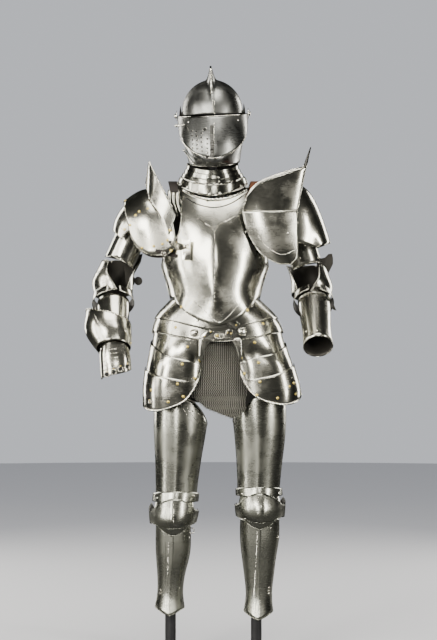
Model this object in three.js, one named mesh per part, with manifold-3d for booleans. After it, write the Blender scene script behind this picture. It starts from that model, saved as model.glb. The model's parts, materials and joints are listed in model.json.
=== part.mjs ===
// A suit of plate armour on its display stand: helmet, cuirass, pauldrons, arms, one gauntlet,
// tassets, mail skirt and legs, each plate a thin wall of its own.
// Millimetres, +Z up, the front of the armour faces -Y, and +X is the wearer's left.
import * as THREE from 'three';
import Module from 'manifold-3d';

const wasm = await Module();
wasm.setup();

const { sin, cos, abs, sign, max, min, PI } = Math;
const { lerp, degToRad: rad, smoothstep } = THREE.MathUtils;

// ---------------------------------------------------------------- driving dimensions

const plateWall = 2;            // thickness of a steel plate
const lameStep = 4.2;           // distance between two plates that overlap
const seam = 0.4;               // gap where two pieces meet
const mailWall = 3;
const strapWall = 3;

const pivotHeight = 1695;       // visor pivots above the floor
const helmetSide = -7.6;        // the helmet stands a little to the wearer's right
const helmetBack = -15;         // y of the pivots
const helmetRoll = -2.2;        // degrees, the comb leans to the wearer's right
const neckSide = -7.5;

const postRadius = 17;
const postRight = -139;
const postLeft = 129;
const postDepth = 10;           // y of the posts
const baseWidth = 520;
const baseDepth = 420;
const baseHeight = 12;

const finishes = {
  polished: { color: 0xc4c1b4, roughness: 0.22, metalness: 1 },
  satin: { color: 0xa3a496, roughness: 0.34, metalness: 1 },
  legs: { color: 0x8b8d80, roughness: 0.38, metalness: 1 },
  mail: { color: 0x77776e, roughness: 0.45, metalness: 1 },
  leather: { color: 0x2b1c12, roughness: 0.7, metalness: 0 },
  redLeather: { color: 0xb2450f, roughness: 0.65, metalness: 0 },
  stand: { color: 0x151515, roughness: 0.5, metalness: 0 },
};

const suit = new THREE.Group();

// ---------------------------------------------------------------- tables and surfaces

// A short table with named columns, smooth between its rows. The first column is the key.
function table(names, rows) {
  const columns = names.split(' ');
  const rise = (i, c) => (rows[i + 1][c] - rows[i][c]) / (rows[i + 1][0] - rows[i][0]);
  // The slope at a row never makes the curve swing past its neighbours.
  const slope = (i, c) => {
    const before = rise(max(i - 1, 0), c);
    const after = rise(min(i, rows.length - 2), c);
    return before * after <= 0 ? 0 : (2 * before * after) / (before + after);
  };
  return (key) => {
    const rising = rows[0][0] < rows[rows.length - 1][0] ? 1 : -1;
    let i = rows.findIndex((row) => (row[0] - key) * rising > 0) - 1;
    if (i === -2) i = rows.length - 2;
    i = max(i, 0);
    const [a, b] = [rows[i], rows[i + 1]];
    const span = b[0] - a[0];
    const t = min(max((key - a[0]) / span, 0), 1);
    const values = {};
    columns.forEach((name, c) => {
      values[name] = c === 0 ? key
        : a[c] * (1 - t) ** 2 * (1 + 2 * t) + b[c] * t ** 2 * (3 - 2 * t)
        + span * (slope(i, c) * t * (1 - t) ** 2 - slope(i + 1, c) * t ** 2 * (1 - t));
    });
    return values;
  };
}

// A line of one value against another, such as an edge's height against its angle.
function line(rows) {
  const read = table('key value', rows);
  return (key) => read(key).value;
}

const signedPower = (value, power) => sign(value) * abs(value) ** power;

// Level sections round a limb. Angle 0 faces the front and grows towards the wearer's left.
// Columns: z x y width front back, and if wanted square (2 is an ellipse) and keel.
function rings(sections, keelAngle = 22) {
  return (degrees, z, inset = 0) => {
    const s = sections(z);
    const angle = rad(degrees);
    const power = 2 / (s.square ?? 2);
    const depth = (cos(angle) > 0 ? s.front : s.back) - inset;
    const turned = abs(((degrees + 180) % 360 + 360) % 360 - 180);
    const ridge = (s.keel ?? 0) * max(0, 1 - turned / keelAngle);
    return new THREE.Vector3(
      s.x + (s.width - inset) * signedPower(sin(angle), power),
      s.y - depth * signedPower(cos(angle), power) - ridge,
      z,
    );
  };
}

// Arches between two ends, such as a visor's between its pivots. Every row has its ends at
// (endA, endB) and its crown at (crownA, crownB) in the plane across the arches.
function arches(sections, place, { power = 0.8, ridge = 0 } = {}) {
  return (degrees, key) => {
    const s = sections(key);
    const angle = rad(degrees);
    const rise = (1 - ridge) * signedPower(cos(angle), s.power ?? power)
      + ridge * (1 - abs(sin(angle)));
    return place(
      s.half * sin(angle),
      lerp(s.endA, s.crownA, rise),
      lerp(s.endB, s.crownB, rise),
    );
  };
}

const acrossX = (side, forward, up) => new THREE.Vector3(side, -forward, up);
const acrossY = (front, x, up) => new THREE.Vector3(x, -front, up);

// The part of a surface between two angles, from its lower edge to its upper edge.
function panel(surface, { from, to, low, high }) {
  const edge = (value, angle) => (typeof value === 'function' ? value(angle) : value);
  return (u, v) => {
    const angle = lerp(from, to, u);
    return surface(angle, lerp(edge(low, angle), edge(high, angle), v));
  };
}

const steps = (count) => (Array.isArray(count) ? count
  : Array.from({ length: count + 1 }, (_, i) => i / count));

// A wall behind the surface at(u, v), with a closed rim round every edge.
function plate(at, { across = 8, along = 4, wall = plateWall, out = 0 } = {}) {
  const [us, vs] = [steps(across), steps(along)];
  const found = new Map();
  const points = [];
  const ids = vs.map((v) => us.map((u) => {
    const p = at(u, v);
    const key = p.toArray().map((n) => Math.round(n * 100)).join();
    if (!found.has(key)) {
      found.set(key, points.length);
      points.push(p);
    }
    return found.get(key);
  }));
  let faces = [];
  for (let j = 1; j < vs.length; j += 1) {
    for (let i = 1; i < us.length; i += 1) {
      const [a, b, c, d] = [ids[j - 1][i - 1], ids[j - 1][i], ids[j][i], ids[j][i - 1]];
      faces.push([a, b, c], [a, c, d]);
    }
  }
  faces = faces.filter(([a, b, c]) => a !== b && b !== c && c !== a);

  const corner = new THREE.Vector3();
  const normalOf = ([a, b, c]) => new THREE.Vector3().subVectors(points[b], points[a])
    .cross(corner.subVectors(points[c], points[a]));
  const middle = points.reduce((sum, p) => sum.add(p), new THREE.Vector3())
    .divideScalar(points.length);
  const facing = faces.reduce((sum, f) => sum
    + normalOf(f).dot(new THREE.Vector3().subVectors(points[f[0]], middle)), 0);
  if (facing < 0) faces = faces.map(([a, b, c]) => [a, c, b]);

  const normals = points.map(() => new THREE.Vector3());
  faces.forEach((f) => {
    const n = normalOf(f);
    f.forEach((id) => normals[id].add(n));
  });
  normals.forEach((n) => n.normalize());

  const outer = points.map((p, i) => p.clone().addScaledVector(normals[i], out));
  const inner = outer.map((p, i) => p.clone().addScaledVector(normals[i], -wall));
  const count = points.length;
  const triangles = [...faces, ...faces.map((f) => [f[0] + count, f[2] + count, f[1] + count])];
  const used = new Set(faces.flatMap(([a, b, c]) => [`${a},${b}`, `${b},${c}`, `${c},${a}`]));
  used.forEach((pair) => {
    const [a, b] = pair.split(',').map(Number);
    if (!used.has(`${b},${a}`)) triangles.push([b, a, a + count], [b, a + count, b + count]);
  });

  const geometry = new THREE.BufferGeometry();
  const positions = [...outer, ...inner].flatMap((p) => p.toArray());
  geometry.setAttribute('position', new THREE.Float32BufferAttribute(positions, 3));
  geometry.setIndex(triangles.flat());
  return geometry;
}

// ---------------------------------------------------------------- joining plain solids

function toSolid(geometry) {
  const source = geometry.index ? geometry.toNonIndexed() : geometry;
  const { array } = source.getAttribute('position');
  const found = new Map();
  const corners = [];
  const triangles = [];
  for (let i = 0; i < array.length; i += 3) {
    const key = [0, 1, 2].map((k) => array[i + k].toFixed(3)).join();
    if (!found.has(key)) {
      found.set(key, corners.length / 3);
      corners.push(array[i], array[i + 1], array[i + 2]);
    }
    triangles.push(found.get(key));
  }
  const kept = [];
  for (let i = 0; i < triangles.length; i += 3) {
    const [a, b, c] = triangles.slice(i, i + 3);
    if (a !== b && b !== c && c !== a) kept.push(a, b, c);
  }
  return new wasm.Manifold(new wasm.Mesh({
    numProp: 3, vertProperties: Float32Array.from(corners), triVerts: Uint32Array.from(kept),
  }));
}

function fromSolid(solid) {
  const mesh = solid.getMesh();
  const geometry = new THREE.BufferGeometry();
  geometry.setAttribute('position', new THREE.BufferAttribute(mesh.vertProperties, 3));
  geometry.setIndex(new THREE.BufferAttribute(mesh.triVerts, 1));
  return geometry;
}

const joined = (pieces) => fromSolid(pieces.map(toSolid).reduce((a, b) => a.add(b)));

// A round bar between two points.
function bar(from, to, radius, sides = 12, endRadius = radius) {
  const [a, b] = [new THREE.Vector3(...from), new THREE.Vector3(...to)];
  const geometry = new THREE.CylinderGeometry(endRadius, radius, a.distanceTo(b), sides);
  const turn = new THREE.Quaternion().setFromUnitVectors(
    new THREE.Vector3(0, 1, 0), b.clone().sub(a).normalize());
  const middle = a.clone().add(b).multiplyScalar(0.5);
  return geometry.applyQuaternion(turn).translate(...middle.toArray());
}

const ball = (at, radius) => new THREE.SphereGeometry(radius, 10, 6).translate(...at);

function add(name, geometry, finish, parent = suit) {
  const mesh = new THREE.Mesh(geometry, new THREE.MeshStandardMaterial(finishes[finish]));
  mesh.name = name;
  parent.add(mesh);
  return mesh;
}

function frameAt(position, degrees = [0, 0, 0], parent = suit) {
  const group = new THREE.Group();
  group.position.set(...position);
  group.rotation.set(...degrees.map(rad));
  parent.add(group);
  return group;
}

// ---------------------------------------------------------------- stand

function roundedSlab(width, depth, height, radius) {
  const outline = new THREE.Shape();
  const [x, y] = [width / 2 - radius, depth / 2 - radius];
  outline.absarc(x, y, radius, 0, PI / 2);
  outline.absarc(-x, y, radius, PI / 2, PI);
  outline.absarc(-x, -y, radius, PI, PI * 1.5);
  outline.absarc(x, -y, radius, PI * 1.5, PI * 2);
  return new THREE.ExtrudeGeometry(outline, {
    depth: height, bevelEnabled: false, curveSegments: 5,
  });
}

function makeStand() {
  const middle = (postRight + postLeft) / 2;
  const hipBar = 905;
  const shoulderBar = 1392;
  const headTop = 1660;
  add('stand_base', roundedSlab(baseWidth, baseDepth, baseHeight, 30)
    .translate(middle, postDepth, 0), 'stand');
  add('stand_frame', joined([
    bar([postRight, postDepth, baseHeight + seam], [postRight, postDepth, hipBar], postRadius, 16),
    bar([postLeft, postDepth, baseHeight + seam], [postLeft, postDepth, hipBar], postRadius, 16),
    ball([postRight, postDepth, hipBar], postRadius),
    ball([postLeft, postDepth, hipBar], postRadius),
    bar([postRight, postDepth, hipBar], [postLeft, postDepth, hipBar], 14),
    bar([middle, postDepth, hipBar], [neckSide, postDepth, headTop], 13),
    bar([-165, postDepth, shoulderBar], [165, postDepth, shoulderBar], 12),
    ball([neckSide, postDepth, headTop], 34),
  ]), 'stand');
}

// ---------------------------------------------------------------- helmet

const skullRows = table('turn endA endB crownA crownB half', [
  [-7, 0, 0, 112, -11, 97],
  [12, 0, 0, 111, 22, 97],
  [30, 0, 0, 98, 57, 97],
  [48, 0, 0, 75, 85, 97],
  [66, 0, 0, 43, 103, 97],
  [84, 0, 0, 9, 110, 97],
  [102, 0, 0, -27, 108, 97],
  [122, 0, 0, -64, 98, 97],
  [142, 0, 0, -98, 72, 97],
  [162, 0, 0, -118, 36, 97],
  [182, -3, -12, -124, -8, 96],
  [204, -9, -55, -118, -58, 91],
  [226, -13, -102, -105, -106, 83],
  [246, -14, -146, -95, -150, 76],
]);

// Height of the comb over the skull, from the brow over the crown to the nape.
const combHeight = line([[34, 0], [44, 10], [58, 28], [74, 40], [92, 43], [112, 41],
  [134, 33], [158, 21], [182, 9], [204, 0]]);
// Share of that height across the comb, against the distance from the middle.
const combShare = line([[0, 1], [4.5, 0.84], [10.5, 0.2], [17, 0]]);
const browRidge = 3;

function skullAt(angle, turn) {
  const surface = arches(skullRows, acrossX, { power: 0.92 });
  const point = surface(angle, turn);
  const away = abs(point.x);
  const crown = surface(0, turn);
  const outward = new THREE.Vector3(0, crown.y, crown.z).normalize();
  const low = turn < 40 ? browRidge * max(0, 1 - away / 9) : 0;
  const tall = away < 17 && turn > 34 && turn < 204 ? combHeight(turn) * combShare(away) : 0;
  return point.addScaledVector(outward, max(low, tall));
}

const visorRows = table('turn endA endB crownA crownB half power', [
  [0, 0, 0, 131, -17, 108.5, 0.84],
  [0.2, 0, 0, 139, -40, 109, 0.84],
  [0.5, 0, 0, 151, -76, 109, 0.8],
  [0.75, 0, 0, 159, -112, 109, 0.68],
  [1, 0, 0, 158, -149, 109, 0.56],
]);
const visorSurface = arches(visorRows, acrossX, { power: 0.84, ridge: 0.1 });

const bevorRows = table('turn endA endB crownA crownB half', [
  [0, 0, 0, 144, -92, 103],
  [0.2, 0, 0, 152, -128, 103],
  [0.32, 0, -6, 151.5, -145, 103],
  [0.55, -5, -50, 148, -158, 98],
  [0.78, -8, -100, 138, -168, 88],
  [1, -8, -146, 122, -171, 81],
]);
const bevorSurface = arches(bevorRows, acrossX, { power: 0.84, ridge: 0.1 });

// Columns across the skull: close together over the comb, wider at the sides.
const skullSides = [4.5, 10.5, 17, 36, 58, 78, 91.5, 97].map((x) => x / 97);
const skullAngles = [...skullSides].reverse().map((s) => -Math.asin(s) * 180 / PI)
  .concat(0, skullSides.map((s) => Math.asin(s) * 180 / PI));

function makeHelmet() {
  const head = frameAt([helmetSide, helmetBack, pivotHeight], [0, helmetRoll, 0]);
  const across = skullAngles.map((a) => (a + 90) / 180);
  const turns = [-7, 14, 34, 44, 58, 74, 92, 112, 134, 158, 182, 204, 226, 246];
  add('helmet_skull', plate(
    (u, v) => skullAt(lerp(-90, 90, u), v),
    { across, along: turns },
  ), 'polished', head);
  add('helmet_visor', plate(
    panel(visorSurface, { from: -90, to: 90, low: 1, high: 0 }),
    { across: 14, along: 4 },
  ), 'polished', head);
  add('helmet_bevor', plate(
    panel(bevorSurface, { from: -104, to: 104, low: 1, high: 0 }),
    { across: 14, along: 5 },
  ), 'polished', head);

  const profile = [[0, 0], [16, 0], [16, 1.6], [8, 1.8], [8, 4.5], [5.5, 7.8], [0, 9]]
    .map(([r, h]) => new THREE.Vector2(r, h));
  [['visor_pivot_r', -1], ['visor_pivot_l', 1]].forEach(([name, side]) => {
    const geometry = new THREE.LatheGeometry(profile, 12).rotateZ(-side * PI / 2)
      .translate(side * 110.6, 0, 0);
    add(name, geometry, 'polished', head);
  });

  const [pegRoot, pegEnd] = [[-86, 94.6, -36.5], [-112, 104, -40]].map(([x, f, z]) => [x, -f, z]);
  add('lifting_peg', joined([bar(pegRoot, pegEnd, 2.6), ball(pegEnd, 4.8)]), 'polished', head);
  const [hookTop, hookEnd] = [[-92, 52, -112], [-64, 104, -157]].map(([x, f, z]) => [x, -f, z]);
  add('bevor_hook', joined([
    bar(hookTop, hookEnd, 2.2), ball(hookTop, 4.4), ball(hookEnd, 4.4),
  ]), 'polished', head);
}

// ---------------------------------------------------------------- neck lames

const neckRows = table('z x y width front back', [
  [1548, neckSide, -14, 80, 88, 78],
  [1525, neckSide, -14, 83, 84, 80],
  [1495, neckSide, -14, 93, 85, 84],
  [1478, neckSide, -14, 99, 88, 87],
  [1452, neckSide, -14, 103, 91, 90],
  [1420, neckSide, -14, 106, 93, 92],
]);
const neckSurface = rings(neckRows);
const neckFrontAngle = 96;

// A lame's edge dips in front, and a little behind.
const dipped = (height, dip) => (angle) => height - dip * max(0, cos(rad(angle))) ** 2;

const neckLames = [
  { name: 'neck_front_1', low: 1522, high: 1538, dip: 22, out: 0 },
  { name: 'neck_front_2', low: 1508, high: 1526, dip: 24, out: 3.6 },
  { name: 'neck_front_3', low: 1494, high: 1512, dip: 26, out: 7.2 },
  { name: 'neck_front_4', low: 1475, high: 1498, dip: 28, out: 10.8, lowDip: 38 },
  { name: 'neck_rear_1', low: 1512, high: 1546, dip: 6, out: 0, rear: true },
  { name: 'neck_rear_2', low: 1458, high: 1516, dip: 6, out: 4, rear: true, lowDip: 14 },
];

function makeNeck() {
  neckLames.forEach(({ name, low, high, dip, out, rear, lowDip = dip }) => {
    const half = rear ? 180 - neckFrontAngle - 1 : neckFrontAngle;
    const turn = rear ? 180 : 0;
    const surface = (angle, z) => neckSurface(angle + turn, z);
    const at = panel(surface, {
      from: -half, to: half, low: dipped(low, lowDip), high: dipped(high, dip),
    });
    add(name, plate(at, { across: rear ? 7 : 12, along: 2, out }), 'polished');
  });
}

// ---------------------------------------------------------------- cuirass

const trunkRows = table('z x y width front back square', [
  [1486, 0, 0, 142, 58, 84, 2.2],
  [1424, 0, 0, 163, 98, 104, 2.2],
  [1334, 0, 0, 172, 134, 120, 2.2],
  [1250, 0, 0, 165, 151, 118, 2.2],
  [1180, 0, 0, 146, 157, 106, 2.2],
  [1128, 0, 0, 132, 154, 98, 2.2],
  [1104, 1, 0, 150, 153, 106, 2.2],
  [1080, 2, 0, 176, 153, 124, 2.3],
  [1037, 7, 0, 201, 154, 148, 2.4],
  [985, 10, 0, 212, 156, 158, 2.4],
]);
const trunk = rings(trunkRows);

const sideSeam = 90.2;           // degrees, where the breastplate and the backplate meet
const armholeFront = line([[1035, sideSeam], [1232, sideSeam], [1250, 74], [1280, 50], [1310, 38],
  [1340, 34], [1385, 34], [1430, 37], [1470, 42]]);
const armholeBack = line([[1110, 179.6 - sideSeam], [1232, 179.6 - sideSeam], [1262, 72], [1300, 54], [1350, 46],
  [1420, 44], [1482, 50]]);
const ridgeHeight = line([[1037, 9], [1180, 9], [1310, 6], [1340, 0]]);
const breastLow = line([[-1, 1124], [-0.75, 1124], [-0.5, 1104], [-0.25, 1070], [0, 1037],
  [0.25, 1070], [0.5, 1104], [0.75, 1124], [1, 1124]]);
const breastHigh = line([[-1, 1458], [-0.7, 1443], [-0.35, 1429], [0, 1424],
  [0.35, 1429], [0.7, 1443], [1, 1458]]);
const backHigh = line([[-1, 1476], [-0.5, 1462], [0, 1456], [0.5, 1462], [1, 1476]]);

function breastAt(u, v) {
  const side = 2 * u - 1;
  const z = lerp(breastLow(side), breastHigh(side), v);
  const point = trunk(side * armholeFront(z), z);
  point.y -= max(0, ridgeHeight(z)) * max(0, 1 - abs(point.x) / 26);
  return point;
}

function backAt(u, v) {
  const side = 2 * u - 1;
  const z = lerp(1124, backHigh(side), v);
  return trunk(180 + side * armholeBack(z), z);
}

const breastOut = 2 * lameStep;
const hipSeam = 93.5;

function makeCuirass() {
  const sides = [-1, -0.86, -0.68, -0.5, -0.34, -0.16, 0, 0.16, 0.34, 0.5, 0.68, 0.86, 1];
  add('breastplate', plate(breastAt, {
    across: sides.map((s) => (s + 1) / 2), along: 10, out: breastOut,
  }), 'polished');
  add('backplate', plate(backAt, { across: 10, along: 7, out: breastOut }), 'satin');

  const front = (low, high, out) => plate(
    panel(trunk, { from: -hipSeam, to: hipSeam, low, high }), { across: 12, along: 3, out });
  const rear = (low, high, out) => plate(
    panel(trunk, { from: hipSeam + 0.6, to: 359.4 - hipSeam, low, high }),
    { across: 12, along: 3, out });
  const waistLow = line([[-95, 1062], [-50, 1056], [-20, 1038], [0, 1018], [20, 1038],
    [50, 1056], [95, 1062]]);
  const hipLow = line([[-95, 1024], [-45, 1012], [-20, 996], [0, 990], [20, 996],
    [45, 1012], [95, 1024]]);
  add('fauld_waist', front(waistLow, 1118, lameStep), 'polished');
  add('fauld_hip', front(hipLow, 1072, 0), 'polished');
  add('culet_waist', rear(1058, 1118, lameStep), 'satin');
  add('culet_hip', rear(line([[90, 1018], [135, 1004], [180, 992], [225, 1004], [270, 1018]]),
    1068, 0), 'satin');
}

// A strap along a short list of points, its width across X.
function strapOver(points, width) {
  const path = new THREE.CatmullRomCurve3(points.map((p) => new THREE.Vector3(...p)));
  const at = (u, v) => path.getPoint(v).add(new THREE.Vector3((u - 0.5) * width, 0, 0));
  return plate(at, { across: 2, along: 10, wall: strapWall });
}

function makeShoulderStraps() {
  add('shoulder_strap_r', strapOver([[-124, -104, 1450], [-129, -76, 1474], [-133, -10, 1488],
    [-128, 60, 1487], [-118, 98, 1462]], 26), 'leather');
  add('shoulder_strap_l', strapOver([[118, -104, 1450], [122, -76, 1474], [125, -10, 1488],
    [122, 60, 1487], [114, 98, 1462]], 26), 'redLeather');
}

// ---------------------------------------------------------------- lance rest

const restHinge = [-93, -163, 1280];
const restTurn = -28;           // degrees, it stands square to the breastplate
const restLug = 4.5;
const restBarrel = 6;

function makeLanceRest() {
  const frame = frameAt(restHinge, [0, 0, restTurn]);
  const box = (w, d, h, x, y, z) => new THREE.BoxGeometry(w, d, h).translate(x, y, z);
  add('lance_rest_bracket', joined([
    box(30, 4, 62, 0, 12, -10),
    ...[-1, 1].map((side) => box(restLug, 18, 15, side * (restBarrel + 0.5 + restLug / 2), 3, 0)),
  ]), 'polished', frame);

  // Seen from the side: a tapering arm that ends in a hook.
  const outline = new THREE.Shape();
  outline.moveTo(0, restBarrel);
  outline.quadraticCurveTo(-50, 9, -86, 14);
  outline.lineTo(-90, 6);
  outline.quadraticCurveTo(-60, -2, -46, -14);
  outline.quadraticCurveTo(-20, -14, 0, -restBarrel);
  outline.absarc(0, 0, restBarrel, -PI / 2, PI / 2);
  const arm = new THREE.ExtrudeGeometry(outline, {
    depth: 2 * restBarrel, bevelEnabled: false, curveSegments: 6,
  }).rotateY(PI / 2).rotateX(PI / 2).translate(-restBarrel, 0, 0);
  add('lance_rest_arm', arm, 'polished', frame);
}

// ---------------------------------------------------------------- tassets and mail

const thighRight = table('z x y width front back square', [
  [1035, -108, -26, 92, 122, 60, 3],
  [905, -117, -26, 97, 120, 60, 3],
  [835, -121, -26, 100, 120, 62, 3],
  [770, -121, -26, 96, 116, 60, 3],
]);
const thighLeft = table('z x y width front back square', [
  [1035, 128, -26, 92, 122, 60, 3],
  [905, 150, -26, 95, 120, 60, 3],
  [835, 160, -26, 104, 120, 62, 3],
  [770, 157, -26, 98, 116, 60, 3],
]);

// A tasset starts under the hip lame and hangs round the thigh. Share 0 is its inner edge.
function tassetAt(side, thigh) {
  const outer = rings(thigh);
  return (share, z) => {
    const top = trunk(side * lerp(13, 104, share), min(z, 1040), 0);
    const low = outer(side * lerp(-43, 100, share), z);
    return top.lerp(low, smoothstep(1010 - z, 0, 95)).setZ(z);
  };
}

const tassets = [
  {
    side: -1, suffix: 'r', thigh: thighRight,
    low: line([[0, 896], [0.12, 846], [0.24, 806], [0.33, 788], [0.46, 778], [0.6, 779],
      [0.75, 785], [1, 800]]),
    second: line([[0, 872], [0.12, 852], [0.35, 868], [0.6, 882], [1, 898]]),
    first: line([[0, 908], [0.3, 928], [0.6, 962], [1, 982]]),
    high: line([[0, 996], [0.3, 1010], [0.6, 1030], [1, 1036]]),
  },
  {
    side: 1, suffix: 'l', thigh: thighLeft,
    low: line([[0, 892], [0.1, 854], [0.2, 826], [0.28, 808], [0.4, 798], [0.55, 799],
      [0.75, 812], [1, 830]]),
    second: line([[0, 872], [0.1, 860], [0.35, 874], [0.6, 896], [1, 908]]),
    first: line([[0, 912], [0.3, 936], [0.6, 958], [1, 976]]),
    high: line([[0, 996], [0.3, 1010], [0.6, 1030], [1, 1036]]),
  },
];

function makeTassets() {
  tassets.forEach(({ side, suffix, thigh, low, second, first, high }) => {
    const surface = tassetAt(side, thigh);
    const lap = 12;
    const raised = (edge) => (share) => edge(share) + lap;
    const lames = [
      { name: `tasset_${suffix}_1`, low: first, high, out: -lameStep - 1 },
      { name: `tasset_${suffix}_2`, low: (s) => max(second(s), low(s) + 6),
        high: raised(first), out: 0 },
      { name: `tasset_${suffix}_3`, low,
        high: (s) => max(second(s), low(s) + 6) + lap, out: lameStep + 0.6 },
    ];
    lames.forEach(({ name, low: bottom, high: top, out }) => {
      add(name, plate(panel(surface, { from: 0, to: 1, low: bottom, high: top }), {
        across: [0, 0.12, 0.24, 0.35, 0.46, 0.6, 0.75, 0.88, 1], along: 3, out,
      }), 'polished');
    });
  });
}

const mailRows = table('z x y width front back square', [
  [1000, 10, 2, 186, 126, 138, 2.3],
  [900, 14, 2, 200, 116, 138, 2.4],
  [760, 17, 2, 212, 112, 132, 2.6],
]);

function makeMail() {
  const low = line([[-180, 785], [-100, 822], [-60, 826], [-32, 830], [-20, 824], [-8, 788], [-3.6, 779],
    [0.5, 767], [5.6, 756], [12, 765], [25, 822], [60, 832], [100, 828], [180, 785]]);
  const angles = [-180, -150, -120, -90, -60, -35, -20, -12, -8, -3.6, 0.5, 5.6, 12, 19, 27, 40,
    60, 90, 120, 150, 180];
  const at = panel(rings(mailRows), { from: -180, to: 180, low, high: 996 });
  add('mail_skirt', plate(at, {
    across: angles.map((a) => (a + 180) / 360), along: 5, wall: mailWall,
  }), 'mail');
}

// ---------------------------------------------------------------- legs

const legs = [
  {
    suffix: 'r', side: -1,
    thigh: table('z x y width front back square keel', [
      [860, -104, -4, 84, 90, 86, 2.2, 3],
      [735, -107.7, -8, 85, 90, 84, 2.2, 4],
      [660, -112, -11, 77, 83, 80, 2.2, 5],
      [582, -116.7, -14, 69, 75, 74, 2.2, 5],
      [512, -121, -18, 64, 70, 70, 2.2, 5],
    ]),
    thighHigh: [[-112, 800], [-80, 812], [-40, 816], [0, 817], [16, 815], [26, 806], [50, 774],
      [80, 738], [112, 720]],
    knee: table('z x y width front back', [
      [545, -119, -18, 67, 74, 66],
      [507, -122, -20, 69, 82, 68],
      [470, -125, -21, 69, 96, 68],
      [446, -127, -21, 67, 102, 66],
      [422, -129, -17, 62, 88, 64],
      [386, -130, -8, 58, 70, 62],
    ]),
    kneeLine: { top: 524, upper: 494, high: 506, tip: 446, low: 420, lower: 432, end: 392 },
    shin: table('z x y width front back keel', [
      [440, -130, -6, 54, 56, 62, 6],
      [390, -130, -4, 55, 56, 70, 8],
      [345, -130, 0, 55.5, 56, 75, 9],
      [290, -134, 4, 48, 50, 68, 9],
      [248, -138, 8, 41.5, 45, 58, 8],
      [201, -140, 10, 39.5, 44, 48, 7],
      [167, -141.5, 10, 45.5, 52, 50, 7],
      [138, -141, 10, 49, 60, 54, 8],
    ]),
    shinHigh: 424, shinBackHigh: 398,
    shinLow: [[-90, 162], [-50, 156], [0, 141], [50, 156], [90, 160]],
    shinBackLow: 160,
  },
  {
    suffix: 'l', side: 1,
    thigh: table('z x y width front back square keel', [
      [868, 134, -4, 86, 92, 86, 2.2, 3],
      [753, 138.6, -8, 85, 90, 84, 2.2, 4],
      [690, 140, -10, 80, 85, 80, 2.2, 5],
      [582, 137, -14, 69.5, 75, 74, 2.2, 5],
      [522, 135, -18, 66, 70, 70, 2.2, 5],
    ]),
    thighHigh: [[-112, 728], [-80, 748], [-62, 768], [-40, 800], [-25, 818], [0, 824],
      [40, 822], [80, 818], [112, 806]],
    knee: table('z x y width front back', [
      [555, 135, -18, 68, 74, 66],
      [517, 137, -20, 70, 82, 68],
      [490, 138, -21, 70, 96, 68],
      [466, 138.5, -21, 69, 102, 66],
      [442, 139, -17, 66, 88, 64],
      [404, 139, -8, 63, 72, 64],
    ]),
    kneeLine: { top: 538, upper: 512, high: 522, tip: 466, low: 438, lower: 450, end: 412 },
    shin: table('z x y width front back keel', [
      [460, 139, -6, 60, 58, 64, 6],
      [410, 139.5, -4, 62, 58, 72, 8],
      [370, 139, 0, 61.5, 59, 77, 9],
      [320, 137, 3, 54, 53, 72, 9],
      [248, 137.5, 8, 45.5, 46, 60, 8],
      [192, 137, 10, 39.5, 44, 48, 7],
      [154, 135.5, 10, 45.5, 53, 50, 7],
      [126, 135, 10, 49, 62, 54, 8],
    ]),
    shinHigh: 442, shinBackHigh: 416,
    shinLow: [[-90, 150], [-50, 143], [0, 128], [50, 143], [90, 148]],
    shinBackLow: 148,
  },
];

function makeLeg({
  suffix, side, thigh, thighHigh, knee, kneeLine, shin, shinHigh, shinBackHigh, shinLow,
  shinBackLow,
}) {
  const { top, upper, high, tip, low, lower, end } = kneeLine;
  add(`cuisse_${suffix}`, plate(panel(rings(thigh), {
    from: -112, to: 112, low: upper + 4, high: line(thighHigh),
  }), { across: 14, along: 6 }), 'legs');

  const cap = rings(knee);
  const lameOut = lameStep;
  add(`poleyn_upper_${suffix}`, plate(panel(cap, {
    from: -104, to: 104, low: upper, high: line([[-104, top - 8], [0, top + 4], [104, top - 8]]),
  }), { across: 12, along: 2, out: lameOut }), 'legs');
  add(`poleyn_lower_${suffix}`, plate(panel(cap, {
    from: -104, to: 104, low: line([[-104, end + 56], [-60, end + 38], [0, end], [60, end + 38],
      [104, end + 56]]), high: line([[-104, lower + 36], [0, lower], [104, lower + 36]]),
  }), { across: 12, along: 2, out: lameOut }), 'legs');

  // The cop narrows at the sides and spreads into a fan on the leg's outer side.
  const inner = -side;
  const capHigh = line([[-150, tip + 16], [-128, tip + 36], [-104, tip + 22], [-84, tip + 14],
    [0, high], [84, tip + 14], [104, tip + 18]].map(([a, z]) => [a * inner, z])
    .sort((p, q) => p[0] - q[0]));
  const capLow = line([[-150, tip - 12], [-128, tip - 28], [-104, tip - 20], [-84, tip - 14],
    [0, low], [84, tip - 14], [104, tip - 18]].map(([a, z]) => [a * inner, z])
    .sort((p, q) => p[0] - q[0]));
  const [from, to] = side < 0 ? [-146, 104] : [-104, 146];
  const capAt = panel(cap, { from, to, low: capLow, high: capHigh });
  add(`poleyn_cop_${suffix}`, plate((u, v) => {
    const point = capAt(u, v);
    const angle = lerp(from, to, u);
    const proud = side * angle > 84 ? (side * angle - 84) * 0.32 : 0;
    const fore = max(0, cos(rad(angle)));
    point.x += side * proud;
    point.y -= 6 * max(0, 1 - abs(angle) / 16) * fore;
    return point;
  }, { across: 16, along: 4, out: 2 * lameStep }), 'legs');

  const half = 89.4;
  add(`greave_front_${suffix}`, plate(panel(rings(shin), {
    from: -half, to: half, low: line(shinLow), high: shinHigh,
  }), { across: 10, along: 8 }), 'legs');
  add(`greave_back_${suffix}`, plate(panel(rings(shin), {
    from: half + 1.2, to: 360 - half - 1.2, low: shinBackLow, high: shinBackHigh,
  }), { across: 10, along: 7 }), 'legs');
}

// ---------------------------------------------------------------- arms

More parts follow.
